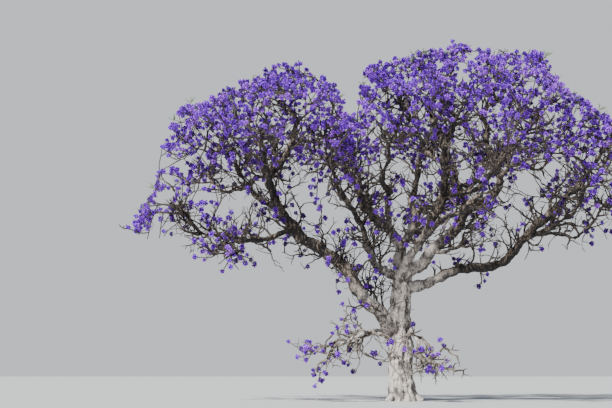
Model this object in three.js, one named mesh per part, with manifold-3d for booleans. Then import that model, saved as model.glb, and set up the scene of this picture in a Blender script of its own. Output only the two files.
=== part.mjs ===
// A jacaranda in full blossom: a low-forked trunk, its sinuous boughs, and the masses of
// blossom that the boughs carry. The model is in millimetres, +Z up, with its origin on the
// flat cut under the trunk. Sizes in the plans below are metres: x to the right, y away, z up.
import * as THREE from 'three';
import { mergeVertices } from 'three/addons/utils/BufferGeometryUtils.js';
import Module from 'manifold-3d';

const wasm = await Module();
wasm.setup();

const metre = 1000;
const jointGap = 0.3; // clear width where one solid meets the next
const massGap = 20; // clear width between two masses of blossom
const limbGap = 12; // clear width between blossom and a limb that passes it
const seed = 20261;

const trunk = {
  top: [0.05, 0, 5.75],
  leave: [-0.22, 0.1, 1.9],
  arrive: [0.14, -0.06, 1.9],
  radius: [0.47, 0.36],
  flare: 0.26, // how much wider the foot is
  flareHeight: 0.45,
  lobes: 5,
  lobeDepth: 0.16,
  lobeTurn: 0.6,
  topShare: 0.75, // width of the very top, where the fork begins
  crowding: 1.7, // how much closer the rings lie near the ground
  sides: 15,
  steps: 9,
};

// Two leaders carry other limbs and no blossom of their own.
const leaders = [
  {
    name: 'left_leader', from: 'trunk', at: 0.3, tip: [-5.2, -0.9, 7.6],
    leave: [-1.2, -0.2, 2.2], arrive: [-2.2, -0.3, 0.9], radius: [0.33, 0.21],
  },
  {
    name: 'right_low_leader', from: 'trunk', at: 0.78, tip: [6.6, 0.7, 7.9],
    leave: [2.2, 0.5, 0.2], arrive: [1.9, 0.0, 1.4], radius: [0.24, 0.15],
  },
];

// Each bough carries one mass: heart is the middle of the mass and size its half widths.
const boughs = [
  {
    name: 'left_top', from: 'left_leader', at: 0.97, heart: [-5.4, -0.8, 12.6], size: [2.3, 2.1, 1.4],
    leave: [-0.9, -0.1, 1.4], radius: [0.2, 0.1],
  },
  {
    name: 'left_far', from: 'left_leader', at: 0.93, heart: [-7.9, -0.8, 10.8],
    size: [1.8, 1.9, 1.5], radius: [0.14, 0.08],
  },
  {
    name: 'left_front', from: 'left_top', at: 0.16, heart: [-6, -3.7, 10.7],
    size: [2.3, 2, 1.6], radius: [0.14, 0.08],
  },
  {
    name: 'left_back', from: 'left_top', at: 0.24, heart: [-5.6, 2.4, 11.3],
    size: [2.3, 2, 1.6], radius: [0.15, 0.08],
  },
  {
    name: 'left_rear', from: 'left_back', at: 0.4, heart: [-8.5, 2.3, 10],
    size: [1.7, 1.9, 1.4], radius: [0.1, 0.065], twigs: 5,
  },
  {
    name: 'left_low', from: 'left_leader', at: 0.86, heart: [-9.5, -1.8, 7.8], size: [1.7, 1.6, 1.2],
    leave: [-1.5, -0.8, -0.7], radius: [0.13, 0.065], spray: 0.75, twigs: 5,
  },
  {
    name: 'left_hang', from: 'left_low', at: 0.3, heart: [-7.4, -2.8, 5.7], size: [1.6, 1.5, 1.2],
    leave: [-0.7, -0.6, 0.1], radius: [0.08, 0.05], spray: 0.6, twigs: 4,
  },
  {
    name: 'left_inner', from: 'trunk', at: 0.86, heart: [-3.3, -3.4, 9.6], size: [1.9, 1.8, 1.4],
    leave: [-1.3, -0.3, 0.9], arrive: [-0.3, -0.6, 1.8], radius: [0.18, 0.09], twigs: 5,
  },
  {
    name: 'centre', from: 'trunk', at: 0.95, heart: [-3.4, -0.8, 11.1], size: [1.8, 2, 1.5],
    leave: [-0.9, -0.1, 2.1], arrive: [-1.1, -0.1, 2], radius: [0.26, 0.11],
  },
  {
    name: 'centre_front', from: 'centre', at: 0.28, heart: [-0.5, -3.9, 10.5],
    size: [1.9, 1.9, 1.5], radius: [0.16, 0.08],
  },
  {
    name: 'centre_back', from: 'centre', at: 0.4, heart: [-2, 3.1, 10.8],
    size: [2.1, 1.9, 1.5], radius: [0.16, 0.08],
  },
  {
    name: 'right_leader', from: 'trunk', at: 0.92, heart: [2, -0.2, 13.4], size: [2, 2.1, 1.6],
    leave: [2.9, 0.1, 0.9], arrive: [-1.9, -0.1, 2.9], radius: [0.28, 0.11],
  },
  {
    name: 'right_left', from: 'right_leader', at: 0.62, heart: [-0.2, 0.2, 12.8],
    size: [1.5, 1.9, 1.6], radius: [0.13, 0.08],
  },
  {
    name: 'right_crest', from: 'right_leader', at: 0.5, heart: [4.6, 0, 13.1], size: [2.1, 2.1, 1.6],
    leave: [2.1, 0.1, 0.6], radius: [0.18, 0.1],
  },
  {
    name: 'right_shoulder', from: 'right_crest', at: 0.42, heart: [6.8, -0.4, 10.8],
    size: [1.7, 2.1, 1.6], radius: [0.12, 0.075],
  },
  {
    name: 'right_far', from: 'right_low_leader', at: 0.96, heart: [9, -0.2, 10.9],
    size: [1.6, 2, 1.5], radius: [0.14, 0.08],
  },
  {
    name: 'right_edge', from: 'right_low_leader', at: 0.8, heart: [9, 0.3, 8.3], size: [1.5, 1.9, 1.1],
    leave: [1.2, -0.2, -0.1], radius: [0.11, 0.065],
  },
  {
    name: 'right_front', from: 'trunk', at: 0.88, heart: [1.9, -4.3, 11.5], size: [2.2, 2.1, 1.7],
    leave: [0.5, -1.8, 1.2], radius: [0.22, 0.1],
  },
  {
    name: 'right_bank', from: 'right_front', at: 0.5, heart: [5.1, -4, 11],
    size: [2.1, 2, 1.6], radius: [0.14, 0.08],
  },
  {
    name: 'right_skirt', from: 'right_low_leader', at: 0.6, heart: [7.6, -3.3, 9.2],
    size: [1.8, 1.9, 1.4], radius: [0.13, 0.07],
  },
  {
    name: 'front_low', from: 'right_front', at: 0.34, heart: [3.2, -6.2, 9.2],
    size: [2.1, 1.7, 1.4], radius: [0.13, 0.07],
  },
  {
    name: 'right_inner', from: 'right_leader', at: 0.2, heart: [3.1, -2.3, 7.7], size: [1.5, 1.4, 1.1],
    leave: [0.8, -0.5, 0.2], radius: [0.08, 0.05], spray: 0.6, twigs: 4,
  },
  {
    name: 'right_back', from: 'trunk', at: 0.9, heart: [1.5, 4, 11.9], size: [2.3, 2.1, 1.7],
    leave: [0.4, 1.6, 1.6], radius: [0.22, 0.1],
  },
  {
    name: 'back_bank', from: 'right_back', at: 0.48, heart: [4.9, 4.1, 11.3],
    size: [2.1, 2, 1.6], radius: [0.14, 0.08],
  },
  {
    name: 'back_skirt', from: 'right_low_leader', at: 0.7, heart: [7.5, 3.4, 9.6],
    size: [1.9, 2, 1.45], radius: [0.13, 0.07], twigs: 5,
  },
  {
    name: 'back_low', from: 'right_back', at: 0.34, heart: [2.2, 6.3, 9.4],
    size: [2.2, 1.7, 1.4], radius: [0.13, 0.07], twigs: 5,
  },
  {
    name: 'low_left', from: 'left_leader', at: 0.16, heart: [-3.3, -1.9, 1.65], size: [1.5, 1.3, 1.1],
    leave: [-0.9, -0.5, 0.1], arrive: [-0.7, -0.3, -0.1], radius: [0.12, 0.055], spray: 0.5, twigs: 4,
  },
  {
    name: 'low_right', from: 'trunk', at: 0.42, heart: [1, -1.9, 1.35], size: [1.2, 1.2, 0.9],
    leave: [0.6, -0.8, 0.5], arrive: [0.5, -0.5, -0.9], radius: [0.08, 0.05], spray: 0.5, twigs: 4,
  },
];

const limbShape = {
  sides: 6,
  thinSides: 5,
  thin: 0.15, // a limb under this radius has fewer sides
  stepLength: 0.9,
  fewestSteps: 4,
  mostSteps: 10,
  sway: 0.042, // how far a limb wanders, as a share of its length
  collar: 0.3, // how much wider a limb is where it joins
  collarLength: 1.6, // in radii
  leave: 0.36, // reach of the curve's handles, as shares of the limb's length
  arrive: 0.34,
  follow: 0.83, // how much a limb starts along its parent
  rise: 0.79, // how much it ends pointing up
};

// Where a bough ends in its mass, in half widths from the heart.
const bearing = { near: 0.45, under: -0.62, over: 0.55 };

const bloom = {
  twigs: 6, // twigs that leave each stem
  side: 2, // sprays along each twig, besides the one at its end
  sides: 4,
  length: 1.6, // of one spray
  width: 1.35,
  thickness: 0.5,
  widest: 0.57, // where a spray is widest, as a share of its length
  twigRadius: 0.05,
  twigTaper: 0.8,
  twigBow: 0.08,
  budShare: 0.75, // most of a twig that its end spray may take
  sideShare: 0.42, // outer part of a twig that carries side sprays
  stemShare: 0.75, // how far towards the heart of its mass the stem reaches
  stemPart: [0.96, 0.51], // where the first and the last twig leave the stem
  overhang: 1.85, // polar angle at which the lowest twig leaves, in radians
  firstLevel: 0.35,
  turn: 2.399963, // golden angle between two twigs
  stray: 0.5, // random part of that angle
  lift: [0.1, 0.3], // how far a side spray rises from the shell, and its random part
  reaches: [1.2, 1.1, 1, 0.9, 0.8, 0.7], // how far out a twig ends, tried in turn
  spins: [0, 0.8, -0.8, 1.6, -1.6, 2.4, -2.4, 3.1], // turns about the twig, tried in turn
  sizes: [1, 0.8],
  spread: 2.1, // angle between two sprays of one twig
  sprayGap: 4,
  farthest: 1.3, // outer limit of a mass, in half widths from its heart
  lowest: 0.25, // blossom stays this far above the ground
  fineness: 6, // detail under this size is merged away
};

const paint = {
  bark: { color: 0x7d7166, roughness: 0.92, metalness: 0 },
  blossom: { color: 0x7a5cc4, roughness: 0.75, metalness: 0 },
};

const up = new THREE.Vector3(0, 0, 1);
const inMetres = (list) => new THREE.Vector3(...list).multiplyScalar(metre);

// Seeded random numbers from 0 to 1: the same seed gives the same tree.
function randomFrom(start) {
  let state = start >>> 0;
  return () => {
    state = (state + 0x6d2b79f5) >>> 0;
    let mixed = Math.imul(state ^ (state >>> 15), state | 1);
    mixed ^= mixed + Math.imul(mixed ^ (mixed >>> 7), mixed | 61);
    return ((mixed ^ (mixed >>> 14)) >>> 0) / 4294967296;
  };
}

// A closed solid from a geometry. A ring that closes to a point leaves slivers to be dropped.
function solidFrom(geometry) {
  const bare = geometry.clone();
  for (const name of Object.keys(bare.attributes)) {
    if (name !== 'position') bare.deleteAttribute(name);
  }
  const merged = mergeVertices(bare, 1e-3);
  const triVerts = [];
  for (let i = 0; i < merged.index.count; i += 3) {
    const [a, b, c] = [0, 1, 2].map((k) => merged.index.getX(i + k));
    if (a !== b && b !== c && c !== a) triVerts.push(a, b, c);
  }
  return new wasm.Manifold(new wasm.Mesh({
    numProp: 3,
    vertProperties: new Float32Array(merged.attributes.position.array),
    triVerts: new Uint32Array(triVerts),
  }));
}

function geometryFrom(solid) {
  const mesh = solid.getMesh();
  const geometry = new THREE.BufferGeometry();
  geometry.setAttribute('position', new THREE.BufferAttribute(mesh.vertProperties, 3));
  geometry.setIndex(new THREE.BufferAttribute(mesh.triVerts, 1));
  geometry.computeVertexNormals();
  return geometry;
}

// A limb's centre line: a cubic curve with a seeded sway that dies out at both ends.
class LimbLine extends THREE.Curve {
  constructor(root, leave, arrive, tip, sway, random) {
    super();
    this.cubic = new THREE.CubicBezierCurve3(
      root, root.clone().add(leave), tip.clone().sub(arrive), tip,
    );
    this.span = root.distanceTo(tip);
    this.phases = [random(), random(), random(), random()];
    this.sway = sway;
  }

  getPoint(t, target = new THREE.Vector3()) {
    const [a, b, c, d] = this.phases.map((phase) => phase * 2 * Math.PI);
    const size = this.sway * this.span * Math.sin(Math.PI * t);
    const sideways = Math.sin(5.5 * t + a) + 0.5 * Math.sin(13 * t + b);
    const upward = Math.sin(6.5 * t + c) + 0.5 * Math.sin(12 * t + d);
    const chord = this.cubic.v3.clone().sub(this.cubic.v0).normalize();
    const across = chord.clone().cross(up).normalize();
    const above = across.clone().cross(chord);
    return this.cubic.getPoint(t, target).addScaledVector(across, size * sideways)
      .addScaledVector(above, size * upward);
  }

  direction(t) {
    const step = 0.004;
    const ahead = this.getPoint(Math.min(1, t + step));
    return ahead.sub(this.getPoint(Math.max(0, t - step))).normalize();
  }
}

// A bar bent along a line. radiusAt(t, angle) is its radius, grow makes it that much fatter
// and longer, for cutting its neighbour clear of it, and roll turns it about the line.
function barAlong(line, radiusAt, sides, steps, grow = 0, roll = 0) {
  const geometry = new THREE.CylinderGeometry(1, 1, 1, sides, steps);
  geometry.rotateX(Math.PI / 2);
  const place = geometry.attributes.position;
  const turn = new THREE.Quaternion();
  const point = new THREE.Vector3();
  for (let i = 0; i < place.count; i += 1) {
    const t = THREE.MathUtils.clamp(place.getZ(i) + 0.5, 0, 1);
    const heading = line.direction(t);
    const angle = Math.atan2(place.getY(i), place.getX(i));
    const inside = Math.hypot(place.getX(i), place.getY(i)) < 0.5;
    const radius = inside ? 0 : radiusAt(t, angle) + grow;
    turn.setFromUnitVectors(up, heading);
    point.set(Math.cos(angle + roll), Math.sin(angle + roll), 0).multiplyScalar(radius);
    point.applyQuaternion(turn).add(line.getPoint(t));
    if (t < 1e-6) point.addScaledVector(heading, -grow);
    if (t > 1 - 1e-6) point.addScaledVector(heading, grow);
    place.setXYZ(i, point.x, point.y, point.z);
  }
  return solidFrom(geometry);
}

// The trunk's radius at a height in metres: a lobed foot, then an even taper to the fork.
function trunkRadius(height, angle) {
  const share = height / trunk.top[2];
  const fade = Math.exp(-height / trunk.flareHeight);
  const lobe = 1 + trunk.lobeDepth * fade * Math.cos(trunk.lobes * angle + trunk.lobeTurn);
  const plain = THREE.MathUtils.lerp(trunk.radius[0], trunk.radius[1], share);
  const rounded = share > 0.999 ? trunk.topShare : 1;
  return (plain + trunk.flare * fade) * lobe * rounded * metre;
}

function makeTrunk() {
  const line = new LimbLine(
    new THREE.Vector3(), inMetres(trunk.leave), inMetres(trunk.arrive), inMetres(trunk.top),
    0, () => 0,
  );
  // Rings lie closer together near the ground, where the foot spreads.
  const share = (t) => t ** trunk.crowding;
  const spread = {
    getPoint: (t) => line.getPoint(share(t)),
    direction: (t) => (t < 1e-6 ? up.clone() : line.direction(share(t))),
  };
  const radiusAt = (t, angle) => trunkRadius(share(t) * trunk.top[2], angle);
  const bar = (grow) => barAlong(spread, radiusAt, trunk.sides, trunk.steps, grow);
  return { name: 'trunk', line, solid: bar(0), cutter: bar(jointGap) };
}

// Where a bough ends: in its mass, on the side that it comes from.
function footOf(bough, root) {
  const heart = inMetres(bough.heart);
  const [wide, deep, high] = bough.size.map((half) => half * metre);
  const back = root.clone().sub(heart).setZ(0);
  if (back.length() > 1) back.normalize();
  const drop = heart.z > root.z ? bearing.under : bearing.over;
  heart.x += back.x * wide * bearing.near;
  heart.y += back.y * deep * bearing.near;
  heart.z += high * drop;
  return heart;
}

// The handles of a limb's curve, where its plan names none.
function handlesOf(plan, root, tip, along) {
  const way = tip.clone().sub(root);
  const span = way.length();
  way.normalize();
  const mix = (other, share) => way.clone().addScaledVector(other, share).normalize();
  const leave = mix(along, limbShape.follow).multiplyScalar(span * limbShape.leave);
  const arrive = mix(up, limbShape.rise).multiplyScalar(span * limbShape.arrive);
  return {
    leave: plan.leave ? inMetres(plan.leave) : leave,
    arrive: plan.arrive ? inMetres(plan.arrive) : arrive,
  };
}

function makeLimb(plan, parent, random) {
  const root = parent.line.getPoint(plan.at);
  const tip = plan.tip ? inMetres(plan.tip) : footOf(plan, root);
  const { leave, arrive } = handlesOf(plan, root, tip, parent.line.direction(plan.at));
  const line = new LimbLine(root, leave, arrive, tip, limbShape.sway, random);
  const [wide, narrow] = plan.radius.map((radius) => radius * metre);
  const radiusAt = (t) => {
    const fade = Math.exp((-t * line.span) / (limbShape.collarLength * wide));
    return THREE.MathUtils.lerp(wide, narrow, t ** 0.8) * (1 + limbShape.collar * fade);
  };
  const sides = plan.radius[0] > limbShape.thin ? limbShape.sides : limbShape.thinSides;
  const steps = THREE.MathUtils.clamp(
    Math.round(line.span / metre / limbShape.stepLength), limbShape.fewestSteps, limbShape.mostSteps,
  );
  const bar = (grow) => barAlong(line, radiusAt, sides, steps, grow);
  return { name: plan.name, line, solid: bar(0), cutter: bar(jointGap) };
}

// The largest of the bodies that a cut leaves.
function largestBody(solid) {
  const bodies = solid.decompose();
  bodies.sort((a, b) => b.volume() - a.volume());
  return bodies[0];
}

function boxesMeet(a, b, margin) {
  const one = a.boundingBox();
  const two = b.boundingBox();
  return [0, 1, 2].every((k) => (
    one.min[k] - margin < two.max[k] && two.min[k] - margin < one.max[k]
  ));
}

const isClear = (a, b, gap) => !boxesMeet(a, b, gap) || a.minGap(b, gap) >= gap;

// Grows every limb from its parent, each cut clear of those that came before it.
function growLimbs() {
  const limbs = new Map([['trunk', makeTrunk()]]);
  [...leaders, ...boughs].forEach((plan, index) => {
    const limb = makeLimb(plan, limbs.get(plan.from), randomFrom(seed + index));
    for (const other of limbs.values()) {
      if (boxesMeet(limb.solid, other.cutter, 1)) {
        limb.solid = largestBody(limb.solid.subtract(other.cutter));
      }
    }
    limbs.set(plan.name, limb);
  });
  return limbs;
}

// The space that a mass fills around its heart.
function spaceOf(bough) {
  const size = inMetres(bough.size);
  return {
    name: bough.name,
    heart: inMetres(bough.heart),
    size,
    weight: ((size.x + size.y + size.z) / 3) ** 2,
    spray: bough.spray ?? 1,
    twigs: bough.twigs ?? bloom.twigs,
  };
}

// The corners of a solid, for testing whether it keeps to a space.
function cornersOf(solid) {
  const mesh = solid.getMesh();
  const corners = [];
  for (let i = 0; i < mesh.numVert; i += 1) {
    corners.push(new THREE.Vector3().fromArray(mesh.vertProperties, i * mesh.numProp));
  }
  return corners;
}

// A mass keeps to the points that are nearer its own heart than any other, by power distance,
// so its space is convex and a convex piece lies in it when its corners do.
function keepsToSpace(corners, own, spaces) {
  return corners.every((corner) => {
    const offset = corner.clone().sub(own.heart).divide(own.size);
    if (offset.length() > bloom.farthest || corner.z < bloom.lowest * metre) return false;
    const ownPower = corner.distanceToSquared(own.heart) - own.weight;
    return spaces.every((other) => {
      if (other === own) return true;
      const clear = massGap * other.heart.distanceTo(own.heart);
      return corner.distanceToSquared(other.heart) - other.weight - ownPower > clear;
    });
  });
}

// Tells whether a solid keeps to the space of a mass and clear of every limb.
function roomTest(own, limbs, spaces) {
  const limb = limbs.get(own.name);
  const others = [...limbs.values()].filter((other) => other !== limb);
  return (solid) => keepsToSpace(cornersOf(solid), own, spaces)
    && isClear(solid, limb.solid, jointGap)
    && others.every((other) => isClear(solid, other.solid, limbGap));
}

// A line between two points that bows down by a share of its length.
function shootLine(start, end, bow) {
  const drop = up.clone().multiplyScalar(bow * start.distanceTo(end));
  const third = end.clone().sub(start).multiplyScalar(1 / 3);
  return new LimbLine(start, third.clone().sub(drop), third.clone().add(drop), end, 0, () => 0);
}

// A shoot along a line, from rings that each give a share of the line, a half width and a
// half thickness in metres. A ring of no width closes it to a point. The shoot lies with its
// flat side to the way that it faces.
function shootSolid(line, rings, sides, facing) {
  const last = rings.length - 1;
  const ringAt = (t) => rings[Math.round(t * last)];
  const spaced = {
    getPoint: (t) => line.getPoint(ringAt(t)[0]),
    direction: (t) => line.direction(ringAt(t)[0]),
  };
  const turn = new THREE.Quaternion().setFromUnitVectors(up, line.direction(0.5));
  const local = facing.clone().applyQuaternion(turn.invert());
  const roll = Math.atan2(-local.x, local.y);
  const radiusAt = (t, angle) => {
    const [, width, thickness] = ringAt(t);
    return Math.hypot(width * Math.cos(angle), thickness * Math.sin(angle)) * metre;
  };
  return barAlong(spaced, radiusAt, sides, last, 0, roll);
}

// The first of the shapes made from some options that is free to stand.
function firstFree(options, make, isFree) {
  for (const option of options) {
    const made = make(option);
    if (isFree(made)) return made;
  }
  return null;
}

// The stem goes on from its bough's tip, cut square there, to the middle of the mass.
function makeStem(bough, limb, own) {
  const heading = limb.line.direction(1);
  const start = limb.line.getPoint(1).addScaledVector(heading, jointGap);
  const line = shootLine(start, start.clone().lerp(own.heart, bloom.stemShare), 0);
  const [foot, neck] = [bough.radius[1], bloom.twigRadius / bloom.twigTaper];
  const bar = shootSolid(line, [[0, foot, foot], [1, neck, neck]], bloom.sides, up);
  return { line, solid: bar.trimByPlane(heading.toArray(), heading.dot(start)) };
}

// The way in which a twig leaves the heart of its mass: golden angles over a cap.
function wayOf(k, count, random) {
  const level = (k + bloom.firstLevel) / count;
  const polar = Math.acos(1 - level * (1 - Math.cos(bloom.overhang)));
  const azimuth = k * bloom.turn + random() * bloom.stray;
  const way = new THREE.Vector3().setFromSphericalCoords(1, polar, azimuth);
  return { level, way: new THREE.Vector3(way.z, way.x, way.y) };
}

// A twig from the stem to one point of the shell of its mass, with a spray at its end.
function makeTwig(stem, own, { level, way }, reach, facing) {
  const start = stem.line.getPoint(THREE.MathUtils.lerp(...bloom.stemPart, level));
  const end = own.heart.clone().add(way.clone().multiply(own.size).multiplyScalar(reach));
  const line = shootLine(start, end, bloom.twigBow);
  const bud = Math.min(bloom.budShare, (bloom.length * own.spray * metre) / line.span);
  const thin = bloom.twigRadius * bloom.twigTaper;
  const [width, thickness] = [bloom.width, bloom.thickness].map((full) => (full * own.spray) / 2);
  const foot = [0, bloom.twigRadius, bloom.twigRadius];
  const neck = [1 - bud, thin, thin];
  const wide = [1 - (1 - bloom.widest) * bud, width, thickness];
  return {
    line,
    bare: 1 - bud,
    solid: shootSolid(line, [foot, neck, wide, [1, 0, 0]], bloom.sides, facing),
    spray: shootSolid(line, [neck, wide, [1, 0, 0]], bloom.sides, facing),
    outward: way.clone().multiply(own.size).normalize(),
  };
}

// A spray that leaves a twig sideways and lies along the shell of its mass.
function makeSpray(root, outward, spin, size, lift) {
  const across = outward.clone().cross(up).normalize().applyAxisAngle(outward, spin);
  const heading = across.addScaledVector(outward, lift).normalize();
  const end = root.clone().addScaledVector(heading, bloom.length * size * metre);
  const wide = [bloom.widest, (bloom.width * size) / 2, (bloom.thickness * size) / 2];
  const rings = [[0, 0, 0], wide, [1, 0, 0]];
  return { solid: shootSolid(shootLine(root, end, 0), rings, bloom.sides, outward) };
}

// Twigs may cross near the stem, but no spray touches another shoot.
function addTwigs(stem, own, fits, random) {
  const twigs = [];
  const isFree = (made) => fits(made.solid) && twigs.every((other) => (
    isClear(made.spray, other.solid, bloom.sprayGap)
    && isClear(other.spray, made.solid, bloom.sprayGap)
  ));
  for (let k = 0; k < own.twigs; k += 1) {
    const place = wayOf(k, own.twigs, random);
    const facing = new THREE.Vector3(random() - 0.5, random() - 0.5, random()).normalize();
    const make = (reach) => makeTwig(stem, own, place, reach, facing);
    const twig = firstFree(bloom.reaches, make, isFree);
    if (twig) twigs.push(twig);
  }
  return twigs;
}

// Sprays along one twig, each clear of every shoot but that twig.
function addSprays(twig, scale, shoots, fits, random) {
  const isFree = (made) => fits(made.solid) && shoots.every((other) => (
    other === twig || isClear(made.solid, other.solid, bloom.sprayGap)
  ));
  const options = bloom.sizes.flatMap((size) => bloom.spins.map((spin) => [spin, size * scale]));
  for (let j = 0; j < bloom.side; j += 1) {
    const back = (bloom.sideShare * (j + random() * bloom.sideShare)) / bloom.side;
    const root = twig.line.getPoint(twig.bare * (1 - back));
    const first = j * bloom.spread + random();
    const lift = bloom.lift[0] + bloom.lift[1] * random();
    const make = ([spin, size]) => makeSpray(root, twig.outward, first + spin, size, lift);
    const spray = firstFree(options, make, isFree);
    if (spray) shoots.push(spray);
  }
}

// A mass: a stem from the bough's tip, twigs that spiral off it, and sprays along each twig.
function growMass(bough, limbs, spaces, random) {
  const own = spaces.find((space) => space.name === bough.name);
  const fits = roomTest(own, limbs, spaces);
  const stem = makeStem(bough, limbs.get(bough.name), own);
  const twigs = addTwigs(stem, own, fits, random);
  const shoots = [...twigs];
  for (const twig of twigs) addSprays(twig, own.spray, shoots, fits, random);
  const solids = [stem, ...shoots].map((shoot) => shoot.solid);
  return largestBody(wasm.Manifold.union(solids).simplify(bloom.fineness));
}

function growMasses(limbs) {
  const spaces = boughs.map(spaceOf);
  return boughs.map((bough, index) => ({
    name: `${bough.name}_blossom`,
    solid: growMass(bough, limbs, spaces, randomFrom(seed * 3 + index)),
  }));
}

function meshOf(name, solid, finish) {
  const mesh = new THREE.Mesh(geometryFrom(solid), new THREE.MeshStandardMaterial(finish));
  mesh.name = name;
  return mesh;
}

function makeTree() {
  const limbs = growLimbs();
  const tree = new THREE.Group();
  for (const limb of limbs.values()) tree.add(meshOf(limb.name, limb.solid, paint.bark));
  for (const mass of growMasses(limbs)) tree.add(meshOf(mass.name, mass.solid, paint.blossom));
  return tree;
}

export default makeTree();
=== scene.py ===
# A jacaranda in full blossom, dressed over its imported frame. Sizes are metres, x right, y away, z up.
import math
from itertools import product
import bpy
import numpy as np
from mathutils import Matrix, Quaternion, Vector, noise
from mathutils.bvhtree import BVHTree
from mathutils.kdtree import KDTree


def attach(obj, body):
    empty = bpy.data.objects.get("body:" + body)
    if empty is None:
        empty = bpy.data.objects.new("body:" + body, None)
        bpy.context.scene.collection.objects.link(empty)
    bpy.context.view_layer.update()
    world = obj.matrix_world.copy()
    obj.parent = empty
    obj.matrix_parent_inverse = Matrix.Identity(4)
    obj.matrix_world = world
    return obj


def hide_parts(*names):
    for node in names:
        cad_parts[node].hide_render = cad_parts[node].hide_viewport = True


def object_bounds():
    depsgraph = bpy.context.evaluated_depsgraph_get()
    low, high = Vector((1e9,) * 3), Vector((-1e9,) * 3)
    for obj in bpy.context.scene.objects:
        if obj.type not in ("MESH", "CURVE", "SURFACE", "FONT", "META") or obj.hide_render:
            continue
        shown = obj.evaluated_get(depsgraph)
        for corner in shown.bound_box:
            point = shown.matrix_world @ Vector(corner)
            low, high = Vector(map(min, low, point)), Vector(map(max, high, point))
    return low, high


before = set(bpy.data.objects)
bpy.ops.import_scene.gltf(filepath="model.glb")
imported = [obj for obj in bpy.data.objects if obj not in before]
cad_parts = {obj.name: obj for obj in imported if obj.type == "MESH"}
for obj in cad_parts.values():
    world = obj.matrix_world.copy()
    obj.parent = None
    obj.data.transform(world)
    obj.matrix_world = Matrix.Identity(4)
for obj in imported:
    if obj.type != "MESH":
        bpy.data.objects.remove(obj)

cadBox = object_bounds()
up = Vector((0, 0, 1))
bpy.ops.object.select_all(action="DESELECT")
print("frame loaded:", len(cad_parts), "nodes")

# Camera

cameraLook = {
    "place": (-4.0, -45.0, 1.1),
    "imageWidth": 612,  # pixels
    "focalLength": 1080,  # pixels
    "horizonDrop": 170,  # pixels that the horizon lies below the middle of the image
    "filmWidth": 36.0,  # mm
    "farthest": 2000,
}


def addCamera(look):
    pitch = math.atan(look["horizonDrop"] / look["focalLength"])
    bpy.ops.object.camera_add(location=look["place"], rotation=(math.pi / 2 + pitch, 0, 0))
    camera = bpy.context.object
    camera.name = "camera"
    camera.data.sensor_width = look["filmWidth"]
    camera.data.lens = look["filmWidth"] * look["focalLength"] / look["imageWidth"]
    camera.data.clip_end = look["farthest"]
    bpy.context.scene.camera = camera


addCamera(cameraLook)

# Seeded random numbers from 0 to 1, the same as those that grew the solids

seed = 20261
draws = {"masses": 3, "twigs": 7, "clusters": 11}  # times the seed; the limbs draw from the seed itself
wordMask = 0xFFFFFFFF


def randomFrom(start):
    state = start & wordMask

    def draw():
        nonlocal state
        state = (state + 0x6D2B79F5) & wordMask
        mixed = ((state ^ (state >> 15)) * (state | 1)) & wordMask
        mixed ^= (mixed + (mixed ^ (mixed >> 7)) * (mixed | 61)) & wordMask
        return ((mixed ^ (mixed >> 14)) & wordMask) / 4294967296

    return draw


def lerp(a, b, share):
    return a + (b - a) * share


def spokeAt(angle):
    return Vector((math.cos(angle), math.sin(angle), 0))


def pick(piece):
    bpy.ops.object.select_all(action="DESELECT")
    piece.select_set(True)
    bpy.context.view_layer.objects.active = piece


def openMesh():
    bpy.ops.object.mode_set(mode="EDIT")
    bpy.ops.mesh.select_all(action="SELECT")


def closeMesh():
    bpy.ops.object.mode_set(mode="OBJECT")


# The plan of the limbs

trunkPlan = {
    "top": (0.05, 0, 5.75),
    "leave": (-0.22, 0.1, 1.9),
    "arrive": (0.14, -0.06, 1.9),
    "radius": (0.47, 0.36),
    "flare": 0.26,
    "flareHeight": 0.45,
    "lobes": 5,
    "lobeTurn": 0.6,
}

# Two leaders carry other limbs and no blossom of their own
leaderPlans = [
    {"name": "left_leader", "from": "trunk", "at": 0.3, "tip": (-5.2, -0.9, 7.6),
     "leave": (-1.2, -0.2, 2.2), "arrive": (-2.2, -0.3, 0.9), "radius": (0.33, 0.21)},
    {"name": "right_low_leader", "from": "trunk", "at": 0.78, "tip": (6.6, 0.7, 7.9),
     "leave": (2.2, 0.5, 0.2), "arrive": (1.9, 0.0, 1.4), "radius": (0.24, 0.15)},
]

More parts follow.
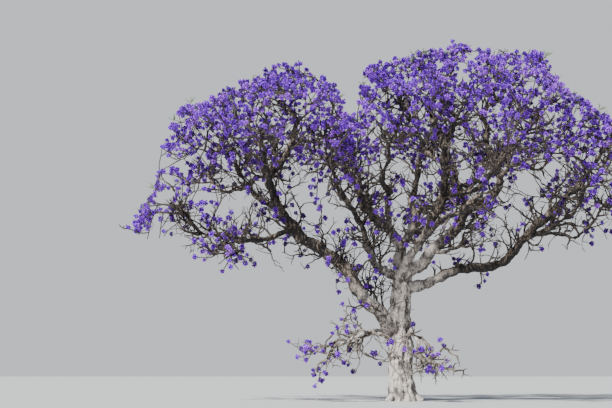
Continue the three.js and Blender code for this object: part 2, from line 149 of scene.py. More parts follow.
# Each bough carries one mass. A row is its name, what carries it and where, the middle and the half widths
# of its mass, its radii at both ends, and what else differs.
boughRows = [
    ("left_top", "left_leader", 0.97, (-5.4, -0.8, 12.6), (2.3, 2.1, 1.4), (0.2, 0.1),
     {"leave": (-0.9, -0.1, 1.4)}),
    ("left_far", "left_leader", 0.93, (-7.9, -0.8, 10.8), (1.8, 1.9, 1.5), (0.14, 0.08), {}),
    ("left_front", "left_top", 0.16, (-6, -3.7, 10.7), (2.3, 2, 1.6), (0.14, 0.08), {}),
    ("left_back", "left_top", 0.24, (-5.6, 2.4, 11.3), (2.3, 2, 1.6), (0.15, 0.08), {}),
    ("left_rear", "left_back", 0.4, (-8.5, 2.3, 10), (1.7, 1.9, 1.4), (0.1, 0.065), {"twigs": 5}),
    ("left_low", "left_leader", 0.86, (-9.5, -1.8, 7.8), (1.7, 1.6, 1.2), (0.13, 0.065),
     {"leave": (-1.5, -0.8, -0.7), "spray": 0.75, "twigs": 5}),
    ("left_hang", "left_low", 0.3, (-7.4, -2.8, 5.7), (1.6, 1.5, 1.2), (0.08, 0.05),
     {"leave": (-0.7, -0.6, 0.1), "spray": 0.6, "twigs": 4}),
    ("left_inner", "trunk", 0.86, (-3.3, -3.4, 9.6), (1.9, 1.8, 1.4), (0.18, 0.09),
     {"leave": (-1.3, -0.3, 0.9), "arrive": (-0.3, -0.6, 1.8), "twigs": 5}),
    ("centre", "trunk", 0.95, (-3.4, -0.8, 11.1), (1.8, 2, 1.5), (0.26, 0.11),
     {"leave": (-0.9, -0.1, 2.1), "arrive": (-1.1, -0.1, 2)}),
    ("centre_front", "centre", 0.28, (-0.5, -3.9, 10.5), (1.9, 1.9, 1.5), (0.16, 0.08), {}),
    ("centre_back", "centre", 0.4, (-2, 3.1, 10.8), (2.1, 1.9, 1.5), (0.16, 0.08), {}),
    ("right_leader", "trunk", 0.92, (2, -0.2, 13.4), (2, 2.1, 1.6), (0.28, 0.11),
     {"leave": (2.9, 0.1, 0.9), "arrive": (-1.9, -0.1, 2.9)}),
    ("right_left", "right_leader", 0.62, (-0.2, 0.2, 12.8), (1.5, 1.9, 1.6), (0.13, 0.08), {}),
    ("right_crest", "right_leader", 0.5, (4.6, 0, 13.1), (2.1, 2.1, 1.6), (0.18, 0.1),
     {"leave": (2.1, 0.1, 0.6)}),
    ("right_shoulder", "right_crest", 0.42, (6.8, -0.4, 10.8), (1.7, 2.1, 1.6), (0.12, 0.075), {}),
    ("right_far", "right_low_leader", 0.96, (9, -0.2, 10.9), (1.6, 2, 1.5), (0.14, 0.08), {}),
    ("right_edge", "right_low_leader", 0.8, (9, 0.3, 8.3), (1.5, 1.9, 1.1), (0.11, 0.065),
     {"leave": (1.2, -0.2, -0.1)}),
    ("right_front", "trunk", 0.88, (1.9, -4.3, 11.5), (2.2, 2.1, 1.7), (0.22, 0.1),
     {"leave": (0.5, -1.8, 1.2)}),
    ("right_bank", "right_front", 0.5, (5.1, -4, 11), (2.1, 2, 1.6), (0.14, 0.08), {}),
    ("right_skirt", "right_low_leader", 0.6, (7.6, -3.3, 9.2), (1.8, 1.9, 1.4), (0.13, 0.07), {}),
    ("front_low", "right_front", 0.34, (3.2, -6.2, 9.2), (2.1, 1.7, 1.4), (0.13, 0.07), {}),
    ("right_inner", "right_leader", 0.2, (3.1, -2.3, 7.7), (1.5, 1.4, 1.1), (0.08, 0.05),
     {"leave": (0.8, -0.5, 0.2), "spray": 0.6, "twigs": 4}),
    ("right_back", "trunk", 0.9, (1.5, 4, 11.9), (2.3, 2.1, 1.7), (0.22, 0.1), {"leave": (0.4, 1.6, 1.6)}),
    ("back_bank", "right_back", 0.48, (4.9, 4.1, 11.3), (2.1, 2, 1.6), (0.14, 0.08), {}),
    ("back_skirt", "right_low_leader", 0.7, (7.5, 3.4, 9.6), (1.9, 2, 1.45), (0.13, 0.07), {"twigs": 5}),
    ("back_low", "right_back", 0.34, (2.2, 6.3, 9.4), (2.2, 1.7, 1.4), (0.13, 0.07), {"twigs": 5}),
    ("low_left", "left_leader", 0.16, (-3.3, -1.9, 1.65), (1.5, 1.3, 1.1), (0.12, 0.055),
     {"leave": (-0.9, -0.5, 0.1), "arrive": (-0.7, -0.3, -0.1), "spray": 0.5, "twigs": 4}),
    ("low_right", "trunk", 0.42, (1, -1.9, 1.35), (1.2, 1.2, 0.9), (0.08, 0.05),
     {"leave": (0.6, -0.8, 0.5), "arrive": (0.5, -0.5, -0.9), "spray": 0.5, "twigs": 4}),
]
boughKeys = ("name", "from", "at", "heart", "size", "radius")
boughPlans = [dict(zip(boughKeys, row)) | row[-1] for row in boughRows]
saddle = -1  # x where the left half of the crown ends

limbRule = {
    "sway": 0.042,  # how far a limb wanders, as a share of its length
    "slowWaves": (5.5, 6.5),  # sideways and up, in radians over its length
    "quickWaves": (13, 12),  # half as far
    "taper": 0.8,
    "collar": 0.3,  # how much wider it is where it joins
    "collarLength": 1.6,  # in radii
    "leave": 0.36,  # reach of the curve's handles, as shares of its length
    "arrive": 0.34,
    "follow": 0.83,  # how much it starts along its parent
    "rise": 0.79,  # how much it ends pointing up
    "near": 0.45,  # where it ends in its mass, in half widths from the heart
    "under": -0.62,
    "over": 0.55,
}


class LimbLine:
    def __init__(self, root, leave, arrive, tip, sway=0.0, draw=lambda: 0):
        self.ends = (root, tip)
        self.handles = (root + leave, tip - arrive)
        self.span = (tip - root).length
        self.phases = [draw() * 2 * math.pi for _ in range(4)]
        self.sway = sway

    def point(self, t):
        (root, tip), (out, back) = self.ends, self.handles
        rest = 1 - t
        place = root * rest ** 3 + out * (3 * t * rest ** 2)
        place += back * (3 * t ** 2 * rest) + tip * t ** 3
        if self.sway == 0:
            return place
        a, b, c, d = self.phases
        size = self.sway * self.span * math.sin(math.pi * t)
        (slow, rise), (quick, lift) = limbRule["slowWaves"], limbRule["quickWaves"]
        sideways = math.sin(slow * t + a) + 0.5 * math.sin(quick * t + b)
        upward = math.sin(rise * t + c) + 0.5 * math.sin(lift * t + d)
        chord = (tip - root).normalized()
        across = chord.cross(up).normalized()
        above = across.cross(chord)
        return place + across * (size * sideways) + above * (size * upward)

    def direction(self, t):
        step = 0.004
        return (self.point(min(1, t + step)) - self.point(max(0, t - step))).normalized()


def footOf(plan, root):
    heart = Vector(plan["heart"])
    wide, deep, high = plan["size"]
    back = root - heart
    back.z = 0
    if back.length > 0.001:
        back.normalize()
    drop = limbRule["under"] if heart.z > root.z else limbRule["over"]
    near = limbRule["near"]
    return heart + Vector((back.x * wide * near, back.y * deep * near, high * drop))


def growLimb(plan, parent, draw):
    root = parent["line"].point(plan["at"])
    tip = Vector(plan["tip"]) if "tip" in plan else footOf(plan, root)
    way = tip - root
    span = way.length
    along = parent["line"].direction(plan["at"])
    leave = (way.normalized() + along * limbRule["follow"]).normalized() * span * limbRule["leave"]
    arrive = (way.normalized() + up * limbRule["rise"]).normalized() * span * limbRule["arrive"]
    leave = Vector(plan.get("leave", leave))
    arrive = Vector(plan.get("arrive", arrive))
    line = LimbLine(root, leave, arrive, tip, limbRule["sway"], draw)
    wide, narrow = plan["radius"]

    def radiusAt(t):
        fade = math.exp(-t * line.span / (limbRule["collarLength"] * wide))
        return lerp(wide, narrow, t ** limbRule["taper"]) * (1 + limbRule["collar"] * fade)

    return {"plan": plan, "line": line, "radiusAt": radiusAt}


leave, arrive, top = (Vector(trunkPlan[key]) for key in ("leave", "arrive", "top"))
limbs = {"trunk": {"plan": trunkPlan, "line": LimbLine(Vector((0, 0, 0)), leave, arrive, top)}}
for index, plan in enumerate(leaderPlans + boughPlans):
    limbs[plan["name"]] = growLimb(plan, limbs[plan["from"]], randomFrom(seed + index))
print("limbs grown:", len(limbs))

# The masses: a stem goes on from each bough's tip, twigs spiral off it and sprays off them

bloomRule = {
    "twigs": 6,  # twigs that leave each stem
    "side": 2,  # sprays along each twig, besides the one at its end
    "length": 1.6,  # of one spray
    "width": 1.35,
    "thickness": 0.5,
    "widest": 0.57,
    "twigRadius": 0.05,
    "twigTaper": 0.8,
    "twigBow": 0.08,
    "budShare": 0.75,
    "sideShare": 0.42,
    "stemShare": 0.75,
    "stemPart": (0.96, 0.51),
    "overhang": 1.85,
    "firstLevel": 0.35,
    "turn": 2.399963,
    "stray": 0.5,
    "lift": (0.1, 0.3),
    "reaches": (1.2, 1.1, 1, 0.9, 0.8, 0.7),
    "spins": (0, 0.8, -0.8, 1.6, -1.6, 2.4, -2.4, 3.1),
    "sizes": (1, 0.8),
    "spread": 2.1,
    "massGap": 0.02,
    "farthest": 1.3,  # outer limit of a mass, in half widths from its heart
    "lowest": 0.25,
}


def spaceOf(plan):
    size = Vector(plan["size"])
    return {
        "name": plan["name"],
        "heart": Vector(plan["heart"]),
        "size": size,
        "weight": (sum(size) / 3) ** 2,
        "spray": plan.get("spray", 1),
        "twigs": plan.get("twigs", bloomRule["twigs"]),
    }


spaces = [spaceOf(plan) for plan in boughPlans]


def scaled(a, b):
    return Vector((a.x * b.x, a.y * b.y, a.z * b.z))


def keepsToSpace(corners, own):
    for corner in corners:
        away = corner - own["heart"]
        if scaled(away, Vector([1 / s for s in own["size"]])).length > bloomRule["farthest"]:
            return False
        if corner.z < bloomRule["lowest"]:
            return False
        ownPower = away.length_squared - own["weight"]
        for other in spaces:
            if other is own:
                continue
            clear = bloomRule["massGap"] * (other["heart"] - own["heart"]).length
            if (corner - other["heart"]).length_squared - other["weight"] - ownPower <= clear:
                return False
    return True


def treeOf(node):
    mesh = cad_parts[node].data
    return BVHTree.FromPolygons(
        [v.co for v in mesh.vertices], [tuple(p.vertices) for p in mesh.polygons])


limbTrees = [treeOf(limb) for limb in limbs]


def shootLine(start, end, bow):
    drop = up * (bow * (end - start).length)
    third = (end - start) / 3
    return LimbLine(start, third - drop, third + drop, end)


# A shoot's corners and faces, from rings of (share of the line, half width, half thickness)
def shootShape(line, rings, facing):
    turn = up.rotation_difference(line.direction(0.5))
    local = facing.copy()
    local.rotate(turn.inverted())
    roll = math.atan2(-local.x, local.y)
    corners = []
    faces = []
    last = None
    for share, width, thickness in rings:
        place = line.point(share)
        ringTurn = up.rotation_difference(line.direction(share))
        ring = [len(corners)] * 4
        if width == 0:
            corners.append(place)
        else:
            ring = [len(corners) + k for k in range(4)]
            for k in range(4):
                half = thickness if k % 2 else width
                spoke = spokeAt(roll + k * math.pi / 2)
                spoke.rotate(ringTurn)
                corners.append(place + spoke * half)
        if last:
            for k in range(4):
                face = [last[k], last[(k + 1) % 4], ring[(k + 1) % 4], ring[k]]
                faces.append(list(dict.fromkeys(face)))
        last = ring
    return {"line": line, "corners": corners, "tree": BVHTree.FromPolygons(corners, faces)}


def isClear(shape, others):
    return not any(shape["tree"].overlap(other) for other in others)


def wayOf(k, count, draw):
    level = (k + bloomRule["firstLevel"]) / count
    polar = math.acos(1 - level * (1 - math.cos(bloomRule["overhang"])))
    azimuth = k * bloomRule["turn"] + draw() * bloomRule["stray"]
    wide = math.sin(polar)
    return level, Vector((wide * math.cos(azimuth), wide * math.sin(azimuth), math.cos(polar)))


def makeTwig(stem, own, level, way, reach, facing):
    rule = bloomRule
    start = stem.point(lerp(*rule["stemPart"], level))
    end = own["heart"] + scaled(way, own["size"]) * reach
    line = shootLine(start, end, rule["twigBow"])
    bud = min(rule["budShare"], rule["length"] * own["spray"] / line.span)
    thin = rule["twigRadius"] * rule["twigTaper"]
    neck = (1 - bud, thin, thin)
    wide = (1 - (1 - rule["widest"]) * bud, rule["width"] * own["spray"] / 2,
            rule["thickness"] * own["spray"] / 2)
    twig = shootShape(line, [(0, rule["twigRadius"], rule["twigRadius"]), neck, wide, (1, 0, 0)], facing)
    spray = shootShape(line, [neck, wide, (1, 0, 0)], facing)["tree"]
    outward = scaled(way, own["size"]).normalized()
    more = {"bare": 1 - bud, "outward": outward, "facing": facing, "size": own["spray"]}
    return twig | {"spray": spray} | more


def makeSpray(root, outward, spin, size, lift):
    across = outward.cross(up).normalized()
    across.rotate(Quaternion(outward, spin))
    heading = (across + outward * lift).normalized()
    line = shootLine(root, root + heading * bloomRule["length"] * size, 0)
    wide = (bloomRule["widest"], bloomRule["width"] * size / 2, bloomRule["thickness"] * size / 2)
    spray = shootShape(line, [(0, 0, 0), wide, (1, 0, 0)], outward)
    return spray | {"bare": 0, "facing": outward, "size": size}


def growMass(plan, own, draw):
    rule = bloomRule
    limb = limbs[plan["name"]]["line"]
    start = limb.point(1)
    stem = shootLine(start, start.lerp(own["heart"], rule["stemShare"]), 0)
    shoots = []
    for k in range(own["twigs"]):
        level, way = wayOf(k, own["twigs"], draw)
        facing = Vector((draw() - 0.5, draw() - 0.5, draw())).normalized()
        for reach in rule["reaches"]:
            twig = makeTwig(stem, own, level, way, reach, facing)
            if not keepsToSpace(twig["corners"], own) or not isClear(twig, limbTrees):
                continue
            if any(other["spray"].overlap(twig["tree"]) for other in shoots):
                continue
            if any(twig["spray"].overlap(other["tree"]) for other in shoots):
                continue
            shoots.append(twig)
            break
    twigs = list(shoots)
    for twig in twigs:
        for j in range(rule["side"]):
            back = rule["sideShare"] * (j + draw() * rule["sideShare"]) / rule["side"]
            root = twig["line"].point(twig["bare"] * (1 - back))
            first = j * rule["spread"] + draw()
            lift = rule["lift"][0] + rule["lift"][1] * draw()
            options = [(spin, size) for size in rule["sizes"] for spin in rule["spins"]]
            for spin, size in options:
                spray = makeSpray(root, twig["outward"], first + spin, size * own["spray"], lift)
                others = limbTrees + [other["tree"] for other in shoots if other is not twig]
                if keepsToSpace(spray["corners"], own) and isClear(spray, others):
                    shoots.append(spray)
                    break
    return {"own": own, "stem": stem, "twigs": twigs, "sprays": shoots[len(twigs):]}


masses = [
    growMass(plan, own, randomFrom(seed * draws["masses"] + index))
    for index, (plan, own) in enumerate(zip(boughPlans, spaces))
]
print("masses grown:", sum(len(m["twigs"]) for m in masses), "twigs,",
      sum(len(m["sprays"]) for m in masses), "side sprays")

# All wood wanders a little from its rule, by one smooth field, so that joints stay joined

wanderLook = {
    "coarse": (0.62, 0.3),  # waves to a metre, and size
    "fine": (1.7, 0.12),
    "footHeight": 3.0,  # below this the wander dies out
    "shift": Vector((17.3, 5.1, 9.7)),
    "seed": 11,
}
noise.seed_set(wanderLook["seed"])


def wander(place):
    fade = min(1, max(0, place.z) / wanderLook["footHeight"])
    pitch, size = wanderLook["coarse"]
    finePitch, fineSize = wanderLook["fine"]
    coarse = noise.noise_vector(place * pitch) * size
    fine = noise.noise_vector(place * finePitch + wanderLook["shift"]) * fineSize
    return place + (coarse + fine) * fade


# Bark: each limb is a tube on its line, and the tubes are grown together and given relief

barkLook = {
    "step": 0.16,  # between two rings of a tube
    "fewest": 6,  # steps of a tube
    "knots": (3.8, 0.22),  # waves to a metre and share of the radius
    "waist": (0.3, 8),  # how much the trunk narrows at its fork, and how suddenly
    "footShare": 0.42,  # part of the flare that is not in the lobes
    "sink": 0.3,  # how far the foot runs on below the ground, where it is cut
    "strands": 7,  # ridges that run up the trunk from its foot
    "strandRings": 20,
    "strandEnd": 0.95,  # share of the trunk
    "strandRadius": (0.15, 0.11),
    "strandSwell": (1.6, 0.3),  # waves to a metre and share of the radius
    "strandSink": 0.075,
    "strandFlare": 0.5,
    "strandTwist": 0.16,  # radians to a metre
    "strandSway": (0.9, 0.4),  # waves to a metre, and radians
    "strandApart": (7.7, 3.1),  # in the noise, from one strand to the next, for its sway and its swell
    "lobeRings": 8,
    "lobeReach": (0.3, 0.7),  # how far out a lobe of the foot runs
    "lobeRadius": (0.09, 0.16),
    "lobeHeight": 1.15,
    "lobeBend": (1.6, 1.5, 0.7),  # how suddenly its height, reach and radius change
    "lobeRoot": 0.15,
    "stemTip": 0.045,
    "sleeve": 1.1,  # length of a limb's foot that is grown together with what carries it
    "sleeveFade": (1.03, 0.3),  # its radius by the limb's own, and how much of that it loses
    "roundness": 3,
    "voxels": (0.027, 0.03, 0.033),  # trunk, left boughs, right boughs
    "smoothing": 2,
    "swell": (0.42, 0.14),  # size and height of the relief
    "plates": (0.12, 0.064),
    "plateStretch": 2.6,
}


def tubeOf(line, radiusAt):
    pitch, depth = barkLook["knots"]
    steps = max(barkLook["fewest"], round(line.span / barkLook["step"]))
    tube = []
    for i in range(steps + 1):
        place = wander(line.point(i / steps))
        tube.append((place, radiusAt(i / steps) * (1 + depth * noise.noise(place * pitch))))
    return tube


def flareAt(height, share):
    return trunkPlan["flare"] * share * math.exp(-height / trunkPlan["flareHeight"])


def sunk(ring):
    place, radius = ring
    return place - up * barkLook["sink"], radius


def trunkTube():
    line = limbs["trunk"]["line"]
    waist, sudden = barkLook["waist"]

    def radiusAt(t):
        height = line.point(t).z
        plain = lerp(*trunkPlan["radius"], height / trunkPlan["top"][2])
        return plain * (1 - waist * t ** sudden) + flareAt(height, barkLook["footShare"])

    tube = tubeOf(line, radiusAt)
    return [sunk(tube[0])] + tube


def lobeTube(k):
    look = barkLook
    angle = (2 * math.pi * k - trunkPlan["lobeTurn"]) / trunkPlan["lobes"]
    fall, stretch, swell = look["lobeBend"]
    tube = []
    for i in range(look["lobeRings"]):
        share = i / (look["lobeRings"] - 1)
        height = look["lobeHeight"] * (1 - share) ** fall
        reach = lerp(*look["lobeReach"], share ** stretch)
        centre = limbs["trunk"]["line"].point(look["lobeRoot"] * (1 - share))
        place = Vector((centre.x, centre.y, height)) + spokeAt(angle) * reach
        tube.append((place, lerp(*look["lobeRadius"], share ** swell)))
    return tube + [sunk(tube[-1])]


def strandTube(k):
    look = barkLook
    swayStep, swellStep = look["strandApart"]
    tube = []
    for i in range(look["strandRings"]):
        t = look["strandEnd"] * i / (look["strandRings"] - 1)
        centre = limbs["trunk"]["line"].point(t)
        pitch, size = look["strandSway"]
        sway = size * noise.noise(Vector((k * swayStep, 0, centre.z * pitch)))
        angle = 2 * math.pi * k / look["strands"] + look["strandTwist"] * centre.z + sway
        reach = lerp(*trunkPlan["radius"], t) - look["strandSink"] + flareAt(centre.z, look["strandFlare"])
        pitch, size = look["strandSwell"]
        swell = 1 + size * noise.noise(Vector((k * swellStep, 5, centre.z * pitch)))
        tube.append((centre + spokeAt(angle) * reach, lerp(*look["strandRadius"], t) * swell))
    return [sunk(tube[0])] + tube


def limbTubes(names):
    tubes = []
    for name in names:
        limb = limbs[name]
        tube = tubeOf(limb["line"], limb["radiusAt"])
        if name in massOf:
            ends = limb["plan"]["radius"][1], barkLook["stemTip"]
            tube += tubeOf(massOf[name]["stem"], lambda t: lerp(*ends, t))[1:]
        tubes.append(tube)
    return tubes


# The foot of each limb that the trunk or a leader carries, fading into the limb's own bark
def sleeveTubes():
    tubes = []
    wide, fade = barkLook["sleeveFade"]
    for plan in boughPlans:
        if plan["from"] not in ("trunk", *mainLimbs):
            continue
        limb = limbs[plan["name"]]
        share = barkLook["sleeve"] / limb["line"].span
        tube = tubeOf(limb["line"], lambda t: limb["radiusAt"](t) * (wide - fade * (t / share) ** 2))
        tubes.append(tube[:math.ceil(share * (len(tube) - 1)) + 1])
    return tubes


def addRelief(piece, name, size, height, stretch=None):
    texture = bpy.data.textures.new(name, type="CLOUDS")
    texture.noise_scale = size
    bpy.ops.object.modifier_add(type="DISPLACE")
    modifier = piece.modifiers[-1]
    modifier.texture = texture
    modifier.strength = height
    modifier.texture_coords = "OBJECT" if stretch else "GLOBAL"
    if stretch:
        modifier.texture_coords_object = stretch


def applyModifiers(piece):
    pick(piece)
    for modifier in list(piece.modifiers):
        bpy.ops.object.modifier_apply(modifier=modifier.name)


def growBark(name, tubes, voxel):
    data = bpy.data.curves.new(name, "CURVE")
    data.dimensions = "3D"
    data.bevel_depth = 1
    data.bevel_resolution = barkLook["roundness"]
    data.use_fill_caps = True
    for tube in tubes:
        spline = data.splines.new("POLY")
        spline.points.add(len(tube) - 1)
        for point, (place, radius) in zip(spline.points, tube):
            point.co = (*place, 1)
            point.radius = radius
    piece = bpy.data.objects.new(name, data)
    bpy.context.scene.collection.objects.link(piece)
    pick(piece)
    bpy.ops.object.convert(target="MESH")
    piece = bpy.context.object
    bpy.ops.object.modifier_add(type="REMESH")
    piece.modifiers[-1].mode = "VOXEL"
    piece.modifiers[-1].voxel_size = voxel
    bpy.ops.object.modifier_add(type="SMOOTH")
    piece.modifiers[-1].iterations = barkLook["smoothing"]
    applyModifiers(piece)
    addRelief(piece, name + "Swell", *barkLook["swell"])
    bpy.ops.object.empty_add(location=(0, 0, 0))
    stretch = bpy.context.object
    stretch.scale = (1, 1, barkLook["plateStretch"])
    bpy.context.view_layer.update()
    pick(piece)
    addRelief(piece, name + "Plates", *barkLook["plates"], stretch)
    applyModifiers(piece)
    bpy.data.objects.remove(stretch)
    openMesh()
    bpy.ops.mesh.bisect(plane_co=(0, 0, 0), plane_no=(0, 0, 1), use_fill=True, clear_inner=True)
    closeMesh()
    bpy.ops.object.shade_smooth()
    print(name, "triangles:", sum(len(p.vertices) - 2 for p in piece.data.polygons))
    return piece


def treeOfPlaces(places):
    tree = KDTree(len(places))
    for i, place in enumerate(places):
        tree.insert(place, i)
    tree.balance()
    return tree


massOf = {mass["own"]["name"]: mass for mass in masses}
mainLimbs = [plan["name"] for plan in leaderPlans]
leftBoughs = [plan["name"] for plan in boughPlans if plan["heart"][0] < saddle]
rightBoughs = [plan["name"] for plan in boughPlans if plan["heart"][0] >= saddle]
lobes = [lobeTube(k) for k in range(trunkPlan["lobes"])]
strands = [strandTube(k) for k in range(barkLook["strands"])]
trunkTubes = [trunkTube()] + lobes + strands + limbTubes(mainLimbs) + sleeveTubes()
barkTubes = [trunkTubes, limbTubes(leftBoughs), limbTubes(rightBoughs)]
barkNames = ("trunk_bark", "left_bough_bark", "right_bough_bark")
barkPieces = [growBark(*plan) for plan in zip(barkNames, barkTubes, barkLook["voxels"])]
woodRings = [ring for tubes in barkTubes for tube in tubes for ring in tube]
woodTree = treeOfPlaces([place for place, _ in woodRings])
print("bark grown")

# Twigs and blossom grow on from the sprays of the rule. The crown's line holds them in: it is the line that
# shows from the front, as x and height in metres at the trunk's depth.

crownLine = {
    "x": (-11.7, -10.9, -10.4, -10.1, -9.5, -8.1, -6.7, -5.1, -3.6, -2.7, -2.2, -1.9, -1.5, -0.5, 0.6, 2.5,
          4.9, 6.2, 7, 8.1, 9, 11),
    "height": (7.3, 8, 8.9, 11, 12.4, 12.8, 13.7, 14.5, 14, 13.4, 12, 12.3, 14.2, 14.6, 14.9, 15.3,
               15.1, 15.1, 13.5, 12.7, 12.1, 11),
    "bumps": (1.1, 0.45),  # waves to a metre, and size
    "bumpDrop": 0.2,
    "sides": 0.12,  # how far it reaches past the solids
}
lowestCrown = 3.6  # metres up; below it stand the low boughs, with pale twigs
reach = Vector((1, 1, 1)) * crownLine["sides"]
limits = Vector(cadBox[0]) - reach, Vector(cadBox[1]) + reach


def underLine(place, margin=0.0):
    eye = Vector(cameraLook["place"])
    share = -eye.y / (place.y - eye.y)
    seen = eye + (place - eye) * share
    pitch, size = crownLine["bumps"]
    bump = size * (noise.noise(Vector((place.x, place.y, 3)) * pitch) - crownLine["bumpDrop"])
    return seen.z + margin - bump < np.interp(seen.x, crownLine["x"], crownLine["height"])


def onLine(x, depth, drop):
    eye = Vector(cameraLook["place"])
    seen = Vector((x, 0, np.interp(x, crownLine["x"], crownLine["height"]) - drop))
    return eye + (seen - eye) * (depth - eye.y) / -eye.y


def isInside(place, margin=0.0):
    low, high = limits
    if place.z < bloomRule["lowest"] or not underLine(place, margin):
        return False
    return all(low[k] < place[k] < high[k] for k in range(3))


def halfOf(place):
    return "left" if place.x < saddle else "right"


def sideOf(place):
    return "low" if place.z < lowestCrown else halfOf(place)


# Blossom is densest where no taller part of the crown stands near, and thins out below
shellLook = {
    "dense": 0.6,  # metres under the crown's envelope
    "thin": 3,
    "most": 0.5,  # share of the twiglets that flower
    "least": 0.1,
    "lowLeft": 0.3,  # on the low boughs
    "lowRight": 0.1,
    "inner": ((-9, -0.7), (3.6, 9), 0.2),  # x and height of the open left side, and its share
    "trunkClear": (1, 5),  # from the trunk's middle, below this height, nothing flowers
    "trunkSide": -0.6,  # x where the low boughs part
    "swell": 1.1,  # of a mass, over its half widths
    "core": 0.5,  # share of a mass that is as high as its middle
    "fall": 0.46,  # slope of the envelope away from there
}


def crownTop(place):
    top = 0
    for own in spaces:
        away = place - own["heart"]
        wide, deep, high = own["size"]
        out = math.hypot(away.x, away.y) - 0.5 * (wide + deep) * shellLook["core"]
        top = max(top, own["heart"].z + high * shellLook["swell"] - shellLook["fall"] * max(0, out))
    return min(top, onLine(place.x, place.y, 0).z)


def flowering(place):
    away, height = shellLook["trunkClear"]
    if place.z < height and math.hypot(place.x, place.y) < away:
        return 0
    if place.z < lowestCrown:
        return shellLook["lowLeft" if place.x < shellLook["trunkSide"] else "lowRight"]
    (left, right), (under, over), inner = shellLook["inner"]
    depth = crownTop(place) - place.z
    share = min(1, max(0, (depth - shellLook["dense"]) / (shellLook["thin"] - shellLook["dense"])))
    least = inner if left < place.x < right and under < place.z < over else shellLook["least"]
    return lerp(shellLook["most"], least, share * share * (3 - 2 * share))


# The meshes of twigs and blossom

def addTube(store, points, radii, sides):
    corners, faces = store
    last = None
    for i, (point, radius) in enumerate(zip(points, radii)):
        ahead = points[min(i + 1, len(points) - 1)] - points[max(i - 1, 0)]
        turn = up.rotation_difference(ahead.normalized())
        ring = [len(corners)] * sides
        if radius == 0:
            corners.append(point)
        else:
            ring = [len(corners) + k for k in range(sides)]
            for k in range(sides):
                spoke = spokeAt(2 * math.pi * k / sides) * radius
                spoke.rotate(turn)
                corners.append(point + spoke)
        if last:
            for k in range(sides):
                after = (k + 1) % sides
                faces.append((last[k], last[after], ring[after]))
                if radius:
                    faces.append((last[k], ring[after], ring[k]))
        last = ring


def meshFrom(name, corners, triangles):
    mesh = bpy.data.meshes.new(name)
    mesh.vertices.add(len(corners))
    mesh.vertices.foreach_set("co", np.asarray(corners, dtype=np.float32).ravel())
    mesh.loops.add(len(triangles) * 3)
    mesh.loops.foreach_set("vertex_index", np.asarray(triangles, dtype=np.int32).ravel())
    mesh.polygons.add(len(triangles))
    mesh.polygons.foreach_set("loop_start", np.arange(0, len(triangles) * 3, 3, dtype=np.int32))
    mesh.update(calc_edges=True)
    piece = bpy.data.objects.new(name, mesh)
    bpy.context.scene.collection.objects.link(piece)
    print(name, "triangles:", len(triangles))
    return piece


def takeShape(piece):
    corners = np.array([v.co for v in piece.data.vertices])
    faces = np.array([tuple(p.vertices) for p in piece.data.polygons])
    bpy.data.objects.remove(piece)
    return corners, faces


# Shapes at their places, joined into one
def joinCopies(copies):
    allCorners = []
    allFaces = []
    count = 0
    for (corners, faces), matrix in copies:
        matrix = np.array(matrix)
        allCorners.append(corners @ matrix[:3, :3].T + matrix[:3, 3])
        allFaces.append(faces + count)
        count += len(corners)
    return np.concatenate(allCorners), np.concatenate(allFaces)


def placing(place, way):
    return Matrix.Translation(place) @ up.rotation_difference(way).to_matrix().to_4x4()


flowerLook = {
    "petals": 5,
    "length": 0.062,
    "mouth": 0.035,
    "lip": 0.35,  # how far the mouth is turned
}

# One cluster: flowers all round a short stalk, mouths outwards
panicleLook = {
    "flowers": 24,
    "middle": 0.08,  # of the ball of flowers, above its foot
    "ball": (-0.01, 0.055),  # from that middle to a flower's foot
    "level": (-0.8, 0.98),
    "stray": 0.35,
    "spin": 6.28,  # radians that a flower is turned on its way, at most
    "flowerSize": (0.85, 1.2),
    "size": (0.8, 1.2),
    "variants": 4,
    "clear": 0.13,  # kept free between a cluster's middle and a limb
    "underLine": 0.05,  # and under the crown's line
    "apart": 0.25,  # between two clusters
}


def modelFlower(look):
    bpy.ops.mesh.primitive_cone_add(
        vertices=look["petals"], radius1=look["mouth"], radius2=0, depth=look["length"],
        end_fill_type="NOTHING", location=(0, 0, 0), rotation=(math.pi, 0, 0))
    flower = bpy.context.object
    flower.data.transform(Matrix.Translation((0, 0, look["length"] / 2)) @ flower.matrix_world)
    flower.matrix_world = Matrix.Identity(4)
    for corner in flower.data.vertices:
        corner.select = corner.co.z > look["length"] / 2
    bpy.ops.object.mode_set(mode="EDIT")
    bpy.ops.transform.rotate(value=look["lip"], orient_axis="X", center_override=(0, 0, look["length"]))
    closeMesh()
    return takeShape(flower)


def modelPanicle(look, flower, draw):
    copies = []
    for k in range(look["flowers"]):
        level = lerp(*look["level"], (k + 0.5) / look["flowers"])
        azimuth = k * bloomRule["turn"] + draw() * look["stray"]
        out = Vector((0, 0, level)) + spokeAt(azimuth) * math.sqrt(1 - level ** 2)
        stray = Vector((draw() - 0.5, draw() - 0.5, draw() - 0.5)) * look["stray"] * 2
        place = up * look["middle"] + out * lerp(*look["ball"], draw())
        spin = Matrix.Rotation(draw() * look["spin"], 4, "Z")
        size = Matrix.Scale(lerp(*look["flowerSize"], draw()), 4)
        copies.append((flower, placing(place, (out + stray).normalized()) @ spin @ size))
    return joinCopies(copies)


chance = randomFrom(seed * draws["twigs"])


def between(low, high):
    return low + (high - low) * chance()


def jitter():
    return Vector((chance() - 0.5, chance() - 0.5, chance() - 0.5))


panicles = []  # each has its half of the crown, tone, place, way, size and turn
paniclesByCell = {}
twigStore = {"left": ([], []), "right": ([], []), "low": ([], [])}  # corners and faces


def isOffWood(place):
    _, i, away = woodTree.find(place)
    return away > woodRings[i][1] + panicleLook["clear"]


